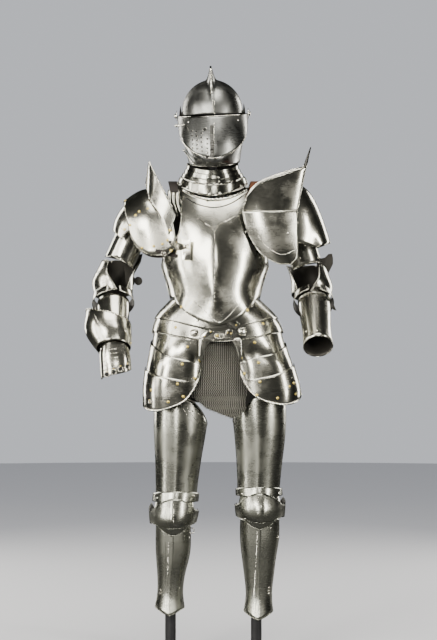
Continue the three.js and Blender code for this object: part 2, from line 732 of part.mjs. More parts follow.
// Sections of an arm's pieces, z measured along the limb from the elbow.
const upperCannon = table('z x y width front back', [
  [40, 0, 0, 50, 51, 50], [100, 0, 0, 50, 51, 50], [180, 0, 0, 47, 48, 48],
]);
const couterRows = table('z x y width front back', [
  [80, 0, 0, 66, 62, 66], [54, 0, 0, 62, 60, 68], [26, 0, 0, 61, 62, 74], [0, 0, 0, 63, 64, 82],
  [-26, 0, 0, 62, 62, 74], [-52, 0, 0, 57, 58, 60],
]);
const couterLameRows = table('z x y width front back', [
  [10, 0, 0, 56, 58, 62], [-50, 0, 0, 61, 62, 68], [-110, 0, 0, 70, 68, 76],
]);
const lowerCannon = table('z x y width front back', [
  [-34, 0, 0, 50, 46, 52], [-80, 0, 0, 52, 47, 52], [-140, 0, 0, 51, 46, 50],
  [-205, 0, 0, 45, 45, 45], [-276, 0, 0, 48, 48, 48],
]);

const arms = [
  {
    suffix: 'r', elbow: [-320, 14, 1188], lean: 24, turn: 26, pitch: -38, yaw: 5,
    end: -222, drop: 12,
  },
  {
    suffix: 'l', elbow: [303, 14, 1172], lean: -17, turn: -24, pitch: -45, yaw: 3,
    end: -276, drop: 0,
  },
];

function makeArm({ suffix, elbow, lean, turn, pitch, yaw, end, drop }) {
  const upper = frameAt(elbow, [0, lean, 0]);
  add(`upper_cannon_${suffix}`, plate(panel(rings(upperCannon), {
    from: -180, to: 180, low: line([[-180, 62], [-90, 52], [0, 62], [90, 52], [180, 62]]),
    high: 178,
  }), { across: 14, along: 3 }), 'polished', upper);

  const bend = frameAt(elbow, [0, 0, 0]);
  bend.rotation.set(rad(-14), 0, rad(turn), 'ZYX');
  const open = line([[-52, 15], [-26, 26], [0, 40], [26, 52], [54, 60]]);
  const shell = rings(couterRows);
  add(`couter_${suffix}`, plate((u, v) => {
    const share = abs(2 * u - 1);
    const z = lerp(lerp(-54, -40 - drop, share), lerp(76, 48, share), v);
    const point = shell(lerp(open(z), 360 - open(z), u), z);
    point.x += max(0, z) * 1.6 * sin(rad(lean));
    return point;
  }, { across: 16, along: 5, out: 2 }), 'polished', bend);

  const lame = frameAt(elbow, [0, 0, 0]);
  lame.rotation.set(rad(pitch + 5), 0, rad(yaw), 'ZYX');
  add(`couter_lame_${suffix}`, plate(panel(rings(couterLameRows), {
    from: 16, to: 344, high: -56 - drop,
    low: line([[16, -78], [90, -84], [180, -92], [270, -84], [344, -78]].map(([a, z]) => [a, z - drop])),
  }), { across: 14, along: 2 }), 'polished', lame);

  const fore = frameAt(elbow, [0, 0, 0]);
  fore.rotation.set(rad(pitch), 0, rad(yaw), 'ZYX');
  add(`lower_cannon_${suffix}`, plate(panel(rings(lowerCannon), {
    from: -180, to: 180, low: end, high: -86 - drop,
  }), { across: 14, along: 4, out: -1 }), 'polished', fore);
  return fore;
}

// The gauntlet's cuff, z along the forearm from the elbow, and the hand, z from the wrist.
const wrist = -268;
const cuffRows = table('z x y width front back', [
  [-120, -18, 0, 66, 68, 66], [-165, -18, 0, 70, 66, 66], [-199, -20, 0, 74, 62, 64],
  [-238, -13, 0, 67, 54, 58], [-262, -6, 0, 57, 46, 50], [-284, -2, 0, 51, 42, 46],
]);
const handRows = table('z x y width front back square', [
  [16, 0, 0, 40, 28, 28, 2.2], [-10, 0, 0, 45, 32, 29, 2.4], [-40, 2, 0, 48, 36, 28, 2.6],
  [-75, 4, 2, 48, 38, 24, 2.6], [-106, 6, 6, 47, 38, 18, 2.6],
]);

function makeGauntlet(fore) {
  const cuffHigh = line([[-180, -132], [-135, -124], [-90, -131], [-40, -165], [0, -184],
    [40, -194], [90, -190], [135, -166], [180, -132]]);
  add('gauntlet_cuff', plate(panel(rings(cuffRows), {
    from: -180, to: 180, low: wrist - 8, high: cuffHigh,
  }), { across: 16, along: 5, out: 1 }), 'polished', fore);

  const hand = new THREE.Group();
  hand.position.set(0, 0, wrist);
  hand.rotation.set(rad(26), 0, rad(1), 'ZYX');
  fore.add(hand);
  add('gauntlet_hand', plate(panel(rings(handRows), {
    from: -118, to: 118, high: 10, low: line([[-118, -100], [-90, -103], [-40, -100],
      [0, -94], [40, -84], [90, -72], [118, -70]]),
  }), { across: 12, along: 6 }), 'polished', hand);
}

// ---------------------------------------------------------------- pauldrons

// Arches from front to back over the shoulder: ends and crowns in the plane of X and Z.
const pauldronRight = table('key endA endB crownA crownB half', [
  [0, -120, 1312, -158, 1462, 124],
  [1, -130, 1262, -190, 1468, 121],
  [2, -190, 1252, -222, 1466, 120],
  [3, -236, 1272, -252, 1452, 106],
  [4, -262, 1318, -284, 1428, 92],
]);
const capRight = table('key endA endB crownA crownB half', [
  [3.6, -246, 1322, -270, 1436, 86],
  [4.4, -264, 1316, -298, 1402, 82],
  [5.2, -274, 1308, -318, 1364, 78],
  [6, -282, 1300, -322, 1336, 76],
]);
const capLeft = table('key endA endB crownA crownB half', [
  [0, 205, 1300, 250, 1486, 112],
  [1, 250, 1294, 272, 1478, 106],
  [2, 276, 1290, 302, 1450, 98],
  [3, 290, 1286, 322, 1408, 90],
  [4, 302, 1284, 342, 1358, 84],
  [5, 314, 1280, 360, 1297, 80],
]);

const guardRows = table('z inner outer depth bulge', [
  [1226, 196, 232, 146, 0],
  [1238, 164, 250, 143, 6],
  [1262, 137, 254, 140, 12],
  [1300, 112, 254, 138, 17],
  [1340, 94, 254, 137, 20],
  [1388, 83, 252, 137, 20],
]);

function guardAt(u, v) {
  const z = lerp(1226, 1388, v);
  const { inner, outer, depth, bulge } = guardRows(z);
  const across = 2 * u - 1;
  return new THREE.Vector3(lerp(inner, outer, u), -depth - bulge * (1 - across * across), z);
}

// A wall that stands between a foot line and a rim, both read against the same key.
const standing = (foot, rim) => (u, v) => {
  const [a, b] = [foot(u), rim(u)];
  return new THREE.Vector3(lerp(a.x, b.x, v), lerp(a.y, b.y, v), lerp(a.z, b.z, v));
};

function makePauldrons() {
  const main = arches(pauldronRight, acrossY, { power: 0.75 });
  const mainAt = (u, v) => main(lerp(-90, 90, u), 4 * v);
  add('pauldron_r', plate(mainAt, { across: 14, along: 6 }), 'polished');
  const cap = arches(capRight, acrossY, { power: 0.8 });
  add('pauldron_r_cap', plate((u, v) => cap(lerp(-84, 84, u), lerp(3.6, 6, v)),
    { across: 12, along: 4, out: -3 }), 'polished');

  const footLine = table('key angle row', [
    [0, 80, 1], [0.2, 66, 1.1], [0.42, 43, 1.65], [0.55, 22, 1.7], [0.75, -8, 1.7],
    [1, -38, 1.7],
  ]);
  const footRise = 10;
  const foot = (key) => {
    const { angle, row } = footLine(key);
    const point = main(angle, row);
    const outward = point.clone().sub(new THREE.Vector3(-190, 0, 1330)).normalize();
    return point.addScaledVector(outward, footRise);
  };
  const rim = table('key x y z', [
    [0, -119, -122, 1378], [0.2, -140, -112, 1420], [0.42, -178, -86, 1492],
    [0.55, -204, -52, 1546], [0.75, -212, 8, 1512], [1, -219, 60, 1484],
  ]);
  add('haute_piece_r', plate(standing(foot, rim),
    { across: [0, 0.1, 0.2, 0.31, 0.42, 0.55, 0.65, 0.75, 0.87, 1], along: 3 }), 'polished');

  const capL = arches(capLeft, acrossY, { power: 0.8 });
  add('pauldron_l', plate((u, v) => capL(lerp(-90, 90, u), 5 * v),
    { across: 14, along: 6 }), 'polished');
  add('pauldron_l_guard', plate(guardAt, { across: 8, along: 8 }), 'polished');
  const corner = 0.62;            // where the wall turns from the front to the shoulder's top
  const footBack = table('key x y z', [
    [corner, 249, -131, 1384], [0.72, 262, -100, 1428], [0.85, 266, -30, 1492], [1, 262, 62, 1480],
  ]);
  const footLeft = (key) => {
    if (key >= corner) return footBack(key);
    const { x, y, z } = guardAt(0.02 + 0.96 * (key / corner), 0.96);
    return { x, y: y + 4 * plateWall, z };
  };
  const rimLeft = table('key x y z', [
    [0, 88, -148, 1404], [0.12, 104, -152, 1446], [0.25, 134, -154, 1478],
    [0.5, 236, -152, 1515], [0.62, 280, -138, 1526], [0.72, 288, -90, 1556],
    [0.85, 299, -10, 1594], [1, 284, 66, 1552],
  ]);
  add('haute_piece_l', plate(standing(footLeft, rimLeft), {
    across: [0, 0.06, 0.12, 0.18, 0.25, 0.37, 0.5, 0.57, 0.62, 0.67, 0.72, 0.78, 0.85, 0.92, 1],
    along: 3,
  }), 'polished');
}


// ---------------------------------------------------------------- export

makeStand();
makeHelmet();
makeNeck();
makeCuirass();
makeShoulderStraps();
makeLanceRest();
makeTassets();
makeMail();
legs.forEach(makeLeg);
const [foreRight] = arms.map(makeArm);
makeGauntlet(foreRight);
makePauldrons();

// The origin lies on the floor, at the middle of everything seen from above.
suit.updateMatrixWorld(true);
const middle = new THREE.Box3().setFromObject(suit, true).getCenter(new THREE.Vector3());
suit.position.set(-middle.x, -middle.y, 0);

export default suit;
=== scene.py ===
"""A suit of plate armour on its stand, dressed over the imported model.

Every plate becomes a smooth steel surface with a darker inside. Rivets, rolled and roped rims,
raised lines, straps, buckles, mail rings and catches are added on top. Metres, +Z up, front at -Y.
"""

import json
import math

import bmesh
import bpy
from bpy.props import FloatProperty, FloatVectorProperty, IntProperty, PointerProperty
from mathutils import Matrix, Vector
from mathutils.bvhtree import BVHTree


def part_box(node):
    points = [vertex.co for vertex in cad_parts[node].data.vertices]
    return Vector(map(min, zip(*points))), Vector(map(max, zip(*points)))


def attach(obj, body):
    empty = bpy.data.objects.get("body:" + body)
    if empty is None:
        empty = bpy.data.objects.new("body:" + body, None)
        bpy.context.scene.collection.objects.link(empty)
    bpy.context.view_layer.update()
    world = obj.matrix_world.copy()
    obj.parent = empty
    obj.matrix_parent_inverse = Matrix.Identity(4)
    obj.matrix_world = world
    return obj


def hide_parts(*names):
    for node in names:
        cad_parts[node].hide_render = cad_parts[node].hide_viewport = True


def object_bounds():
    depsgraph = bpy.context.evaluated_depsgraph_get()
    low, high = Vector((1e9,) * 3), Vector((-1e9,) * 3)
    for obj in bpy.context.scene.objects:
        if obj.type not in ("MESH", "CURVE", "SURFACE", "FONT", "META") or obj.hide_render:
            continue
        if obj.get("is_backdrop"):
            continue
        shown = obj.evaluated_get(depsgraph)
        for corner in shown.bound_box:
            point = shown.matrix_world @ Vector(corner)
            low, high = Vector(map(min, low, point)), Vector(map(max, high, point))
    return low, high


bl_info = {
    "name": "Suit of Armour",
    "version": (1, 0, 0),
    "blender": (4, 5, 0),
    "location": "3D View > Sidebar > Armour",
    "description": "Dresses a suit of plate armour with polished steel, rivets, rims and mail",
    "category": "Object",
}

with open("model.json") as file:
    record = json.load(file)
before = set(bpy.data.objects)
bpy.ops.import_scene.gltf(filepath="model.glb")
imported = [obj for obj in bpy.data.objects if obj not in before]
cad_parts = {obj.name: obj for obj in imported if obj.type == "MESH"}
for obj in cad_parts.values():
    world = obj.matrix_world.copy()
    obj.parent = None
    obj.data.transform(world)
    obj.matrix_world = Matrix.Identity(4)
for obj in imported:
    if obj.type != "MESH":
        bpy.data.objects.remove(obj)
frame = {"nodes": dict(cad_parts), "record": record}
CAD_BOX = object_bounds()
NODES = frame["nodes"]
BODY_OF = {node: body for body, nodes in frame["record"]["behaviour"]["bodies"].items() for node in nodes}

MM = 0.001
STAND_LOW, STAND_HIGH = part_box("stand_base")
# The armour's centre line, seen from the front, lies a little to one side of the base's middle.
CENTRE = (STAND_LOW.x + STAND_HIGH.x) / 2 + 5 * MM
DEPTH = (STAND_LOW.y + STAND_HIGH.y) / 2 - 10 * MM
EYE = Vector((CENTRE + 11 * MM, DEPTH - 6.5, 1.056))
FOCAL_LENGTH, SENSOR_WIDTH = 117.2, 36

STANDS = ("stand_base", "stand_frame")
LEGS = ("cuisse", "poleyn", "greave")
FITTINGS = ("visor_pivot_r", "visor_pivot_l", "lifting_peg", "bevor_hook", "lance_rest_bracket",
            "lance_rest_arm")
STRAPS = ("shoulder_strap_r", "shoulder_strap_l")
PLATES = tuple(n for n in NODES if n not in STANDS + FITTINGS + STRAPS + ("mail_skirt",))


# ---------------------------------------------------------------- sizes and colours a user may change

def colour(name, description, default):
    """A colour that a user may change."""
    return FloatVectorProperty(name=name, description=description, subtype="COLOR", default=default,
                               min=0, max=1)


def length(name, description, default, low=MM, high=0.01):
    """A small length that a user may change."""
    return FloatProperty(name=name, description=description, unit="LENGTH", default=default,
                         min=low, max=high)


class SteelSettings(bpy.types.PropertyGroup):
    """The steel of the plates."""

    body_colour: colour("Body steel", "Colour of the polished plates", (0.47, 0.465, 0.415))
    leg_colour: colour("Leg steel", "Colour of the duller leg plates", (0.36, 0.365, 0.325))
    inside_colour: colour("Inside", "Colour of the unpolished insides", (0.045, 0.042, 0.036))
    roughness: FloatProperty(name="Roughness", description="Roughness of the polished plates",
                             subtype="FACTOR", default=0.2, min=0, max=1)
    smoothing: IntProperty(name="Smoothing", description="Subdivision levels of each plate",
                           default=2, min=0, max=3)


class FittingSettings(bpy.types.PropertyGroup):
    """Rivets, rims and other small pieces."""

    rivet_radius: length("Rivet radius", "Radius of a common rivet head", 4.1 * MM)
    rim_radius: length("Rim radius", "Radius of a rolled rim", 2.4 * MM)
    brass_colour: colour("Brass", "Colour of the brass rivets", (0.84, 0.66, 0.2))
    leather_colour: colour("Leather", "Colour of the dark straps", (0.012, 0.007, 0.005))


class MailSettings(bpy.types.PropertyGroup):
    """The mail skirt."""

    ring_radius: length("Ring radius", "Radius of a mail ring to its wire's middle", 4.2 * MM)
    wire_radius: length("Wire radius", "Radius of the rings' wire", 0.85 * MM, 0.2 * MM, 0.003)


# ---------------------------------------------------------------- shader groups and materials

def new_group(name, inputs, outputs):
    """A shader node group with named sockets: (name, type, default)."""
    group = bpy.data.node_groups.new(name, "ShaderNodeTree")
    for label, kind, value in inputs:
        socket = group.interface.new_socket(label, in_out="INPUT", socket_type=kind)
        socket.default_value = value
    for label, kind in outputs:
        group.interface.new_socket(label, in_out="OUTPUT", socket_type=kind)
    return group, group.nodes.new("NodeGroupInput"), group.nodes.new("NodeGroupOutput")


def feed(tree, node, inputs):
    """Give a node's inputs their values, or link them to the outputs that are given instead."""
    for label, value in inputs.items():
        if isinstance(value, bpy.types.NodeSocket):
            tree.links.new(value, node.inputs[label])
        else:
            node.inputs[label].default_value = value


def add_node(tree, kind, inputs=None, **settings):
    """A node of a kind, with its settings and inputs."""
    node = tree.nodes.new(kind)
    for label, value in settings.items():
        setattr(node, label, value)
    feed(tree, node, inputs or {})
    return node


def wear_group():
    """Worn metal: a colour with dull patches and stains, its roughness and the height of its dents."""
    colour, number = "NodeSocketColor", "NodeSocketFloat"
    group, given, result = new_group("worn_metal", [
        ("Colour", colour, (0.5, 0.5, 0.5, 1)), ("Stain", colour, (0.2, 0.18, 0.15, 1)),
        ("Roughness", number, 0.3), ("Dullness", number, 0.2), ("Dents", number, 1.0),
    ], [("Colour", colour), ("Roughness", number), ("Height", number)])
    wanted = given.outputs

    def noise(vector, scale, detail, roughness):
        return add_node(group, "ShaderNodeTexNoise", {
            "Vector": vector, "Scale": scale, "Detail": detail, "Roughness": roughness}).outputs["Fac"]

    def spread(value, low, high):
        return add_node(group, "ShaderNodeMapRange", {
            "Value": value, "From Min": low, "From Max": high}).outputs["Result"]

    def maths(operation, *values, **settings):
        node = add_node(group, "ShaderNodeMath", dict(enumerate(values)), operation=operation, **settings)
        return node.outputs[0]

    where = add_node(group, "ShaderNodeTexCoord").outputs["Object"]
    drawn_out = add_node(group, "ShaderNodeMapping", {
        "Vector": where, "Scale": (60.0, 60.0, 900.0), "Rotation": (0.5, 0.3, 0.2)}).outputs["Vector"]
    dull = spread(noise(where, 9.0, 6.0, 0.62), 0.5, 0.8)
    pits = spread(noise(where, 190.0, 3.0, 0.7), 0.62, 0.76)
    scratches = noise(drawn_out, 1.0, 2.0, 0.5)
    dents = noise(where, 22.0, 1.5, 0.4)

    both = maths("MAXIMUM", maths("MULTIPLY", dull, 0.3), maths("MULTIPLY", pits, 0.6))
    tint = add_node(group, "ShaderNodeMix", {"Factor": both, "A": wanted["Colour"], "B": wanted["Stain"]},
                    data_type="RGBA")
    rough = maths("MULTIPLY_ADD", dull, wanted["Dullness"], wanted["Roughness"])
    fine = maths("MULTIPLY_ADD", scratches, 0.16, rough)
    height = maths("MULTIPLY", dents, wanted["Dents"])
    feed(group, result, {
        "Colour": tint.outputs["Result"], "Roughness": maths("SUBTRACT", fine, 0.08, use_clamp=True),
        "Height": maths("MULTIPLY_ADD", scratches, 0.018, height)})


def new_material(name, metallic=0.0):
    """A material and its Principled BSDF."""
    material = bpy.data.materials.new(name)
    material.use_nodes = True
    shader = material.node_tree.nodes["Principled BSDF"]
    shader.inputs["Metallic"].default_value = metallic
    return material, shader


DENT_DEPTH = 0.0006


def steel(name, colour, stain, roughness, dullness=0.25, dents=1.0, metallic=1.0):
    """Worn steel or brass of a colour and polish."""
    material, shader = new_material(name, metallic)
    tree = material.node_tree
    worn = add_node(tree, "ShaderNodeGroup", {
        "Colour": (*colour, 1), "Stain": (*stain, 1), "Roughness": roughness, "Dullness": dullness,
        "Dents": dents}, node_tree=bpy.data.node_groups["worn_metal"]).outputs
    bump = add_node(tree, "ShaderNodeBump", {
        "Strength": 1.0, "Distance": DENT_DEPTH, "Height": worn["Height"]})
    feed(tree, shader, {"Base Color": worn["Colour"], "Roughness": worn["Roughness"],
                        "Normal": bump.outputs["Normal"]})


def grained(name, colour, dark, roughness, scale, depth):
    """Leather, paint or near-black painted shade: a grain of small cells over a mottled colour."""
    material, shader = new_material(name)
    tree = material.node_tree
    where = add_node(tree, "ShaderNodeTexCoord").outputs["Object"]
    cells = add_node(tree, "ShaderNodeTexVoronoi", {"Vector": where, "Scale": scale})
    mottle = add_node(tree, "ShaderNodeTexNoise", {
        "Vector": where, "Scale": scale / 12, "Detail": 5.0}).outputs["Fac"]
    tint = add_node(tree, "ShaderNodeMix", {
        "Factor": mottle, "A": (*colour, 1), "B": (*dark, 1)}, data_type="RGBA")
    bump = add_node(tree, "ShaderNodeBump", {
        "Strength": 0.6, "Distance": depth, "Height": cells.outputs["Distance"]})
    rough = add_node(tree, "ShaderNodeMapRange", {
        "Value": mottle, "To Min": roughness - 0.12, "To Max": roughness + 0.14})
    feed(tree, shader, {"Base Color": tint.outputs["Result"], "Roughness": rough.outputs["Result"],
                        "Normal": bump.outputs["Normal"]})


class ARMOUR_OT_finishes(bpy.types.Operator):
    """Make the steel, brass, leather, paint and the near-black painted shade"""

    bl_idname = "armour.finishes"
    bl_label = "Finishes"

    def execute(self, context):
        look = context.scene.armour_steel
        small = context.scene.armour_fittings
        wear_group()
        steel("body_steel", look.body_colour, (0.3, 0.28, 0.23), look.roughness)
        steel("satin_leg_steel", look.leg_colour, (0.16, 0.155, 0.12), look.roughness + 0.05)
        steel("helmet_steel", (0.205, 0.21, 0.205), (0.1, 0.1, 0.088), look.roughness + 0.08,
              dullness=0.3, dents=0.8)
        steel("collar_steel", (0.27, 0.27, 0.24), (0.12, 0.115, 0.09), look.roughness - 0.02)
        steel("inside_steel", look.inside_colour, (0.03, 0.02, 0.014), 0.55, metallic=0.6)
        steel("bright_rim", (0.78, 0.76, 0.69), (0.35, 0.31, 0.24), 0.16, dullness=0.18, dents=0.4)
        # Dark steel: painted shade, laid as a strip beside the visor's keel.
        steel("painted_shade_steel", (0.09, 0.09, 0.085), (0.03, 0.03, 0.028), 0.45, dents=0.2)
        # Near black: painted shade inside holes, grooves and joints between plates.
        grained("painted_hole_shade", (0.004, 0.004, 0.003), (0.012, 0.011, 0.009), 0.8, 700, 0.0003)
        # Near black: painted shade in the depth of the mail, under the rings, with a grain of small cells.
        grained("mail_painted_shade", (0.016, 0.015, 0.012), (0.005, 0.0045, 0.004), 0.6, 320, 0.0012)
        steel("mail_iron", (0.38, 0.37, 0.33), (0.2, 0.17, 0.12), 0.3, dents=0.2)
        steel("rivet_brass", small.brass_colour, (0.4, 0.27, 0.08), 0.36, dents=0.2)
        grained("dark_leather", small.leather_colour, (0.006, 0.004, 0.003), 0.75, 900, 0.0004)
        grained("tanned_red_leather", (0.12, 0.035, 0.007), (0.06, 0.016, 0.004), 0.7, 900, 0.0004)
        grained("black_stand_paint", (0.012, 0.012, 0.013), (0.03, 0.03, 0.032), 0.42, 600, 0.00015)
        return {"FINISHED"}


# ---------------------------------------------------------------- plates

OUTSIDE, INSIDE, EDGE = 0, 1, 2
SAME_PLACE = 0.01 * MM          # corners nearer than this are merged
SHARP = math.radians(55)        # a rim turns more than this
SOFT = math.radians(24)         # a bend gentler than this is left smooth


def cad_copy(node):
    """A CAD node's mesh with its loose triangles merged."""
    shape = bmesh.new()
    shape.from_mesh(NODES[node].data)
    bmesh.ops.remove_doubles(shape, verts=shape.verts, dist=SAME_PLACE)
    return shape


def quad_copy(node):
    """A CAD node's mesh with its triangles paired into quads."""
    shape = cad_copy(node)
    bmesh.ops.join_triangles(shape, faces=shape.faces, angle_face_threshold=math.radians(50),
                             angle_shape_threshold=math.radians(80))
    return shape


def flood(faces):
    """Groups of faces that meet without a sharp bend, the largest first."""
    left, groups = set(faces), []
    while left:
        group, waiting = [], [left.pop()]
        while waiting:
            face = waiting.pop()
            group.append(face)
            for edge in face.edges:
                if edge.calc_face_angle(0) < SHARP:
                    for other in edge.link_faces:
                        if other in left:
                            left.discard(other)
                            waiting.append(other)
        groups.append(group)
    return sorted(groups, key=lambda g: -sum(f.calc_area() for f in g))


def facing_out(group, centre):
    """How much a group of faces looks away from a point."""
    return sum(f.calc_area() * f.normal.dot(f.calc_center_median() - centre) for f in group)


def finished(name, shape, materials, node=None, body="root", smooth=True):
    """A finished piece from a bmesh, riding on its body."""
    mesh = bpy.data.meshes.new(name)
    shape.to_mesh(mesh)
    shape.free()
    for material in materials:
        mesh.materials.append(bpy.data.materials[material])
    if smooth:
        mesh.shade_smooth()
    piece = bpy.data.objects.new(name, mesh)
    bpy.context.scene.collection.objects.link(piece)
    if node:
        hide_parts(node)
        body = BODY_OF[node]
    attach(piece, body)
    return piece


def smooth_plate(node, levels, outer):
    """A smooth plate: sharp at its rims, dark inside."""
    shape = quad_copy(node)
    low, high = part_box(node)
    groups = flood(shape.faces)
    faces_of = sorted(groups[:2], key=lambda g: -facing_out(g, (low + high) / 2))
    for face in shape.faces:
        face.material_index = EDGE
    for index, group in ((OUTSIDE, faces_of[0]), (INSIDE, faces_of[-1])):
        for face in group:
            face.material_index = index
    crease = shape.edges.layers.float.new("crease_edge")
    for edge in shape.edges:
        bend = edge.calc_face_angle(0)
        edge[crease] = min(max((bend - SOFT) / (SHARP - SOFT), 0), 1)
    piece = finished(node + "_plate", shape, [outer, "inside_steel", outer], node)
    smoothing = piece.modifiers.new("smooth", "SUBSURF")
    smoothing.levels = smoothing.render_levels = levels
    return piece


class ARMOUR_OT_plates(bpy.types.Operator):
    """Smooth every plate and give it its steel"""

    bl_idname = "armour.plates"
    bl_label = "Plates"

    def execute(self, context):
        levels = context.scene.armour_steel.smoothing
        for node in PLATES:
            outer = "satin_leg_steel" if node.startswith(LEGS) else "body_steel"
            if node.startswith("helmet"):
                outer = "helmet_steel"
            elif node.startswith("neck"):
                outer = "collar_steel"
            smooth_plate(node, levels, outer)
        return {"FINISHED"}


def eased_copy(node, material, width):
    """A CAD piece with rounded edges."""
    shape = cad_copy(node)
    bmesh.ops.dissolve_limit(shape, angle_limit=math.radians(1), verts=shape.verts, edges=shape.edges)
    sharp = [e for e in shape.edges if e.calc_face_angle(0) > math.radians(40)]
    bmesh.ops.bevel(shape, geom=sharp, offset=width, offset_type="OFFSET", affect="EDGES", segments=2,
                    profile=0.5, material=-1, clamp_overlap=True)
    piece = finished(node + "_finished", shape, [material], node)
    piece.data.set_sharp_from_angle(angle=math.radians(38))
    return piece


class ARMOUR_OT_stand(bpy.types.Operator):
    """Finish the stand, the fittings and the straps"""

    bl_idname = "armour.stand"
    bl_label = "Stand and fittings"

    def execute(self, context):
        eased_copy("stand_base", "black_stand_paint", 2 * MM)
        eased_copy("stand_frame", "black_stand_paint", 0.4 * MM)
        for node in FITTINGS:
            eased_copy(node, "bright_rim", 0.5 * MM)
        eased_copy("shoulder_strap_r", "dark_leather", 0.6 * MM)
        eased_copy("shoulder_strap_l", "tanned_red_leather", 0.6 * MM)
        return {"FINISHED"}


# ---------------------------------------------------------------- placing small pieces

def front(spot):
    """The point on the middle plane that shows at a spot (across, up), in millimetres."""
    across, up = spot
    return Vector((CENTRE + across * MM, DEPTH, up * MM))


def at_depth(spot, depth):
    """The point that shows at a spot and lies at a depth."""
    ray = front(spot) - EYE
    return EYE + ray * ((depth - EYE.y) / ray.y)


def level(angle):
    """The level direction at an angle from the front."""
    return Vector((math.sin(angle), -math.cos(angle), 0))


class Surfaces:
    """The finished surfaces, to find where a small piece sits on them."""

    def __init__(self, names):
        depsgraph = bpy.context.evaluated_depsgraph_get()
        self.trees = [BVHTree.FromObject(bpy.data.objects[name], depsgraph) for name in names]

    def hit(self, start, towards):
        """The first point that a straight line meets, and its outward normal."""
        direction = (towards - start).normalized()
        found = [tree.ray_cast(start, direction) for tree in self.trees]
        found = [hit for hit in found if hit[0] is not None]
        if not found:
            return None
        place, normal, _, _ = min(found, key=lambda hit: hit[3])
        return place, -normal if normal.dot(direction) > 0 else normal

    def seen(self, spot):
        """What shows at a spot from the front."""
        return self.hit(EYE, front(spot))

    def rows(self, rows):
        """The place, way out and sizes of each row (spot, sizes) whose spot meets a surface."""
        for spot, *sizes in rows:
            hit = self.seen(spot)
            if hit:
                yield *hit, *sizes

    def each(self, spots):
        """The place and way out at each spot that meets a surface."""
        return self.rows((spot,) for spot in spots)


def plates_of(starts):
    """The finished plates whose names begin so: one start or a tuple of them."""
    return [n + "_plate" for n in PLATES if n.startswith(starts)]


def root_plates():
    """The finished plates that don't move."""
    return [n + "_plate" for n in PLATES if BODY_OF[n] == "root"]


def facing(place, out):
    """A place's axes, with Z out of the surface."""
    return Matrix.Translation(place) @ out.to_track_quat("Z", "Y").to_matrix().to_4x4()


def frame_at(place, out, along):
    """A place's axes: across, out of the surface and along the line."""
    along = along.normalized()
    across = along.cross(out).normalized()
    out = across.cross(along)
    turn = Matrix((across, out, along)).transposed().to_4x4()
    return Matrix.Translation(place) @ turn


def circle_section(radius, sides=6, lobes=0, depth=0.0, sink=0.0):
    """A round section as (across, out), with lobes for a roped one."""
    section = []
    for i in range(sides):
        angle = 2 * math.pi * i / sides
        reach = radius + depth * math.cos(lobes * angle)
        section.append((reach * math.cos(angle), reach * math.sin(angle) - sink))
    return section


def absorb(shape, part):
    """Move a part into a larger shape."""
    mesh = bpy.data.meshes.new("part")
    part.to_mesh(mesh)
    part.free()
    shape.from_mesh(mesh)
    bpy.data.meshes.remove(mesh)


def sweep(shape, section, frames, twist=0.0):
    """Draw a closed section along two frames or more, turned a little more at each."""
    if len(frames) < 2:
        return
    part = bmesh.new()
    corners = [part.verts.new((a, o, 0)) for a, o in section]
    face = part.faces.new(corners)
    bmesh.ops.transform(part, matrix=frames[0], verts=part.verts)
    done = frames[0]
    for i, place in enumerate(frames[1:], 1):
        grown = bmesh.ops.extrude_face_region(part, geom=[face])["geom"]
        face = next(g for g in grown if isinstance(g, bmesh.types.BMFace))
        turned = place @ Matrix.Rotation(twist * i, 4, "Z")
        bmesh.ops.transform(part, matrix=turned @ done.inverted(), verts=face.verts)
        done = turned
    bmesh.ops.recalc_face_normals(part, faces=part.faces)
    absorb(shape, part)


def frames_along(points, outs):
    """Frames along a row of points, each with the way out of the surface there."""
    frames = []
    for i, point in enumerate(points):
        along = points[min(i + 1, len(points) - 1)] - points[max(i - 1, 0)]
        frames.append(frame_at(point, outs[i], along))
    return frames


def smooth_row(spots, step):
    """Even steps along a smooth curve through spots of any dimension."""
    spots = [Vector(s) for s in spots]
    row = []
    for i in range(len(spots) - 1):
        a, b = spots[max(i - 1, 0)], spots[i]
        c, d = spots[i + 1], spots[min(i + 2, len(spots) - 1)]
        count = max(int((c - b).length / step), 1)
        for k in range(count):
            t = k / count
            row.append(0.5 * (2 * b + (c - a) * t + (2 * a - 5 * b + 4 * c - d) * t ** 2
                              + (3 * b - a - 3 * c + d) * t ** 3))
    return row + [spots[-1]]


LINE_STEP = 3       # millimetres between the frames along a line
OUTER = 0.4         # a distance from a plate's middle that is surely outside it


def line_on(surfaces, spots):
    """Frames along a line on the surfaces, through spots seen from the front."""
    hits = list(surfaces.each(smooth_row(spots, LINE_STEP)))
    return frames_along([h[0] for h in hits], [h[1] for h in hits])


def dome(shape, place, out, radius, flat=0.55):
    """A rivet head: a low dome on a surface."""
    size = Matrix.Diagonal((radius, radius, radius * flat, 1))
    bmesh.ops.create_uvsphere(shape, u_segments=12, v_segments=8, radius=1, matrix=facing(place, out) @ size)


def disc(shape, place, out, radius, height):
    """A flat round head, or a disc in a hole that carries the hole's painted shade."""
    bmesh.ops.create_cone(shape, cap_ends=True, segments=16, radius1=radius, radius2=radius * 0.92,
                          depth=height, matrix=facing(place, out))


def ring(shape, place, radius, wire, sides=3, steps=8):
    """One ring of wire: a short section spun round."""
    part = bmesh.new()
    corners = [part.verts.new((radius + across, 0, up)) for across, up in circle_section(wire, sides)]
    edges = [part.edges.new((corners[i - 1], corners[i])) for i in range(sides)]
    bmesh.ops.spin(part, geom=corners + edges, cent=(0, 0, 0), axis=(0, 0, 1), angle=2 * math.pi, steps=steps,
                   use_merge=True)
    bmesh.ops.remove_doubles(part, verts=part.verts, dist=wire * 0.01)
    bmesh.ops.recalc_face_normals(part, faces=part.faces)
    bmesh.ops.transform(part, matrix=place, verts=part.verts)
    absorb(shape, part)


def everywhere(point):
    """The whole of an edge."""
    return True


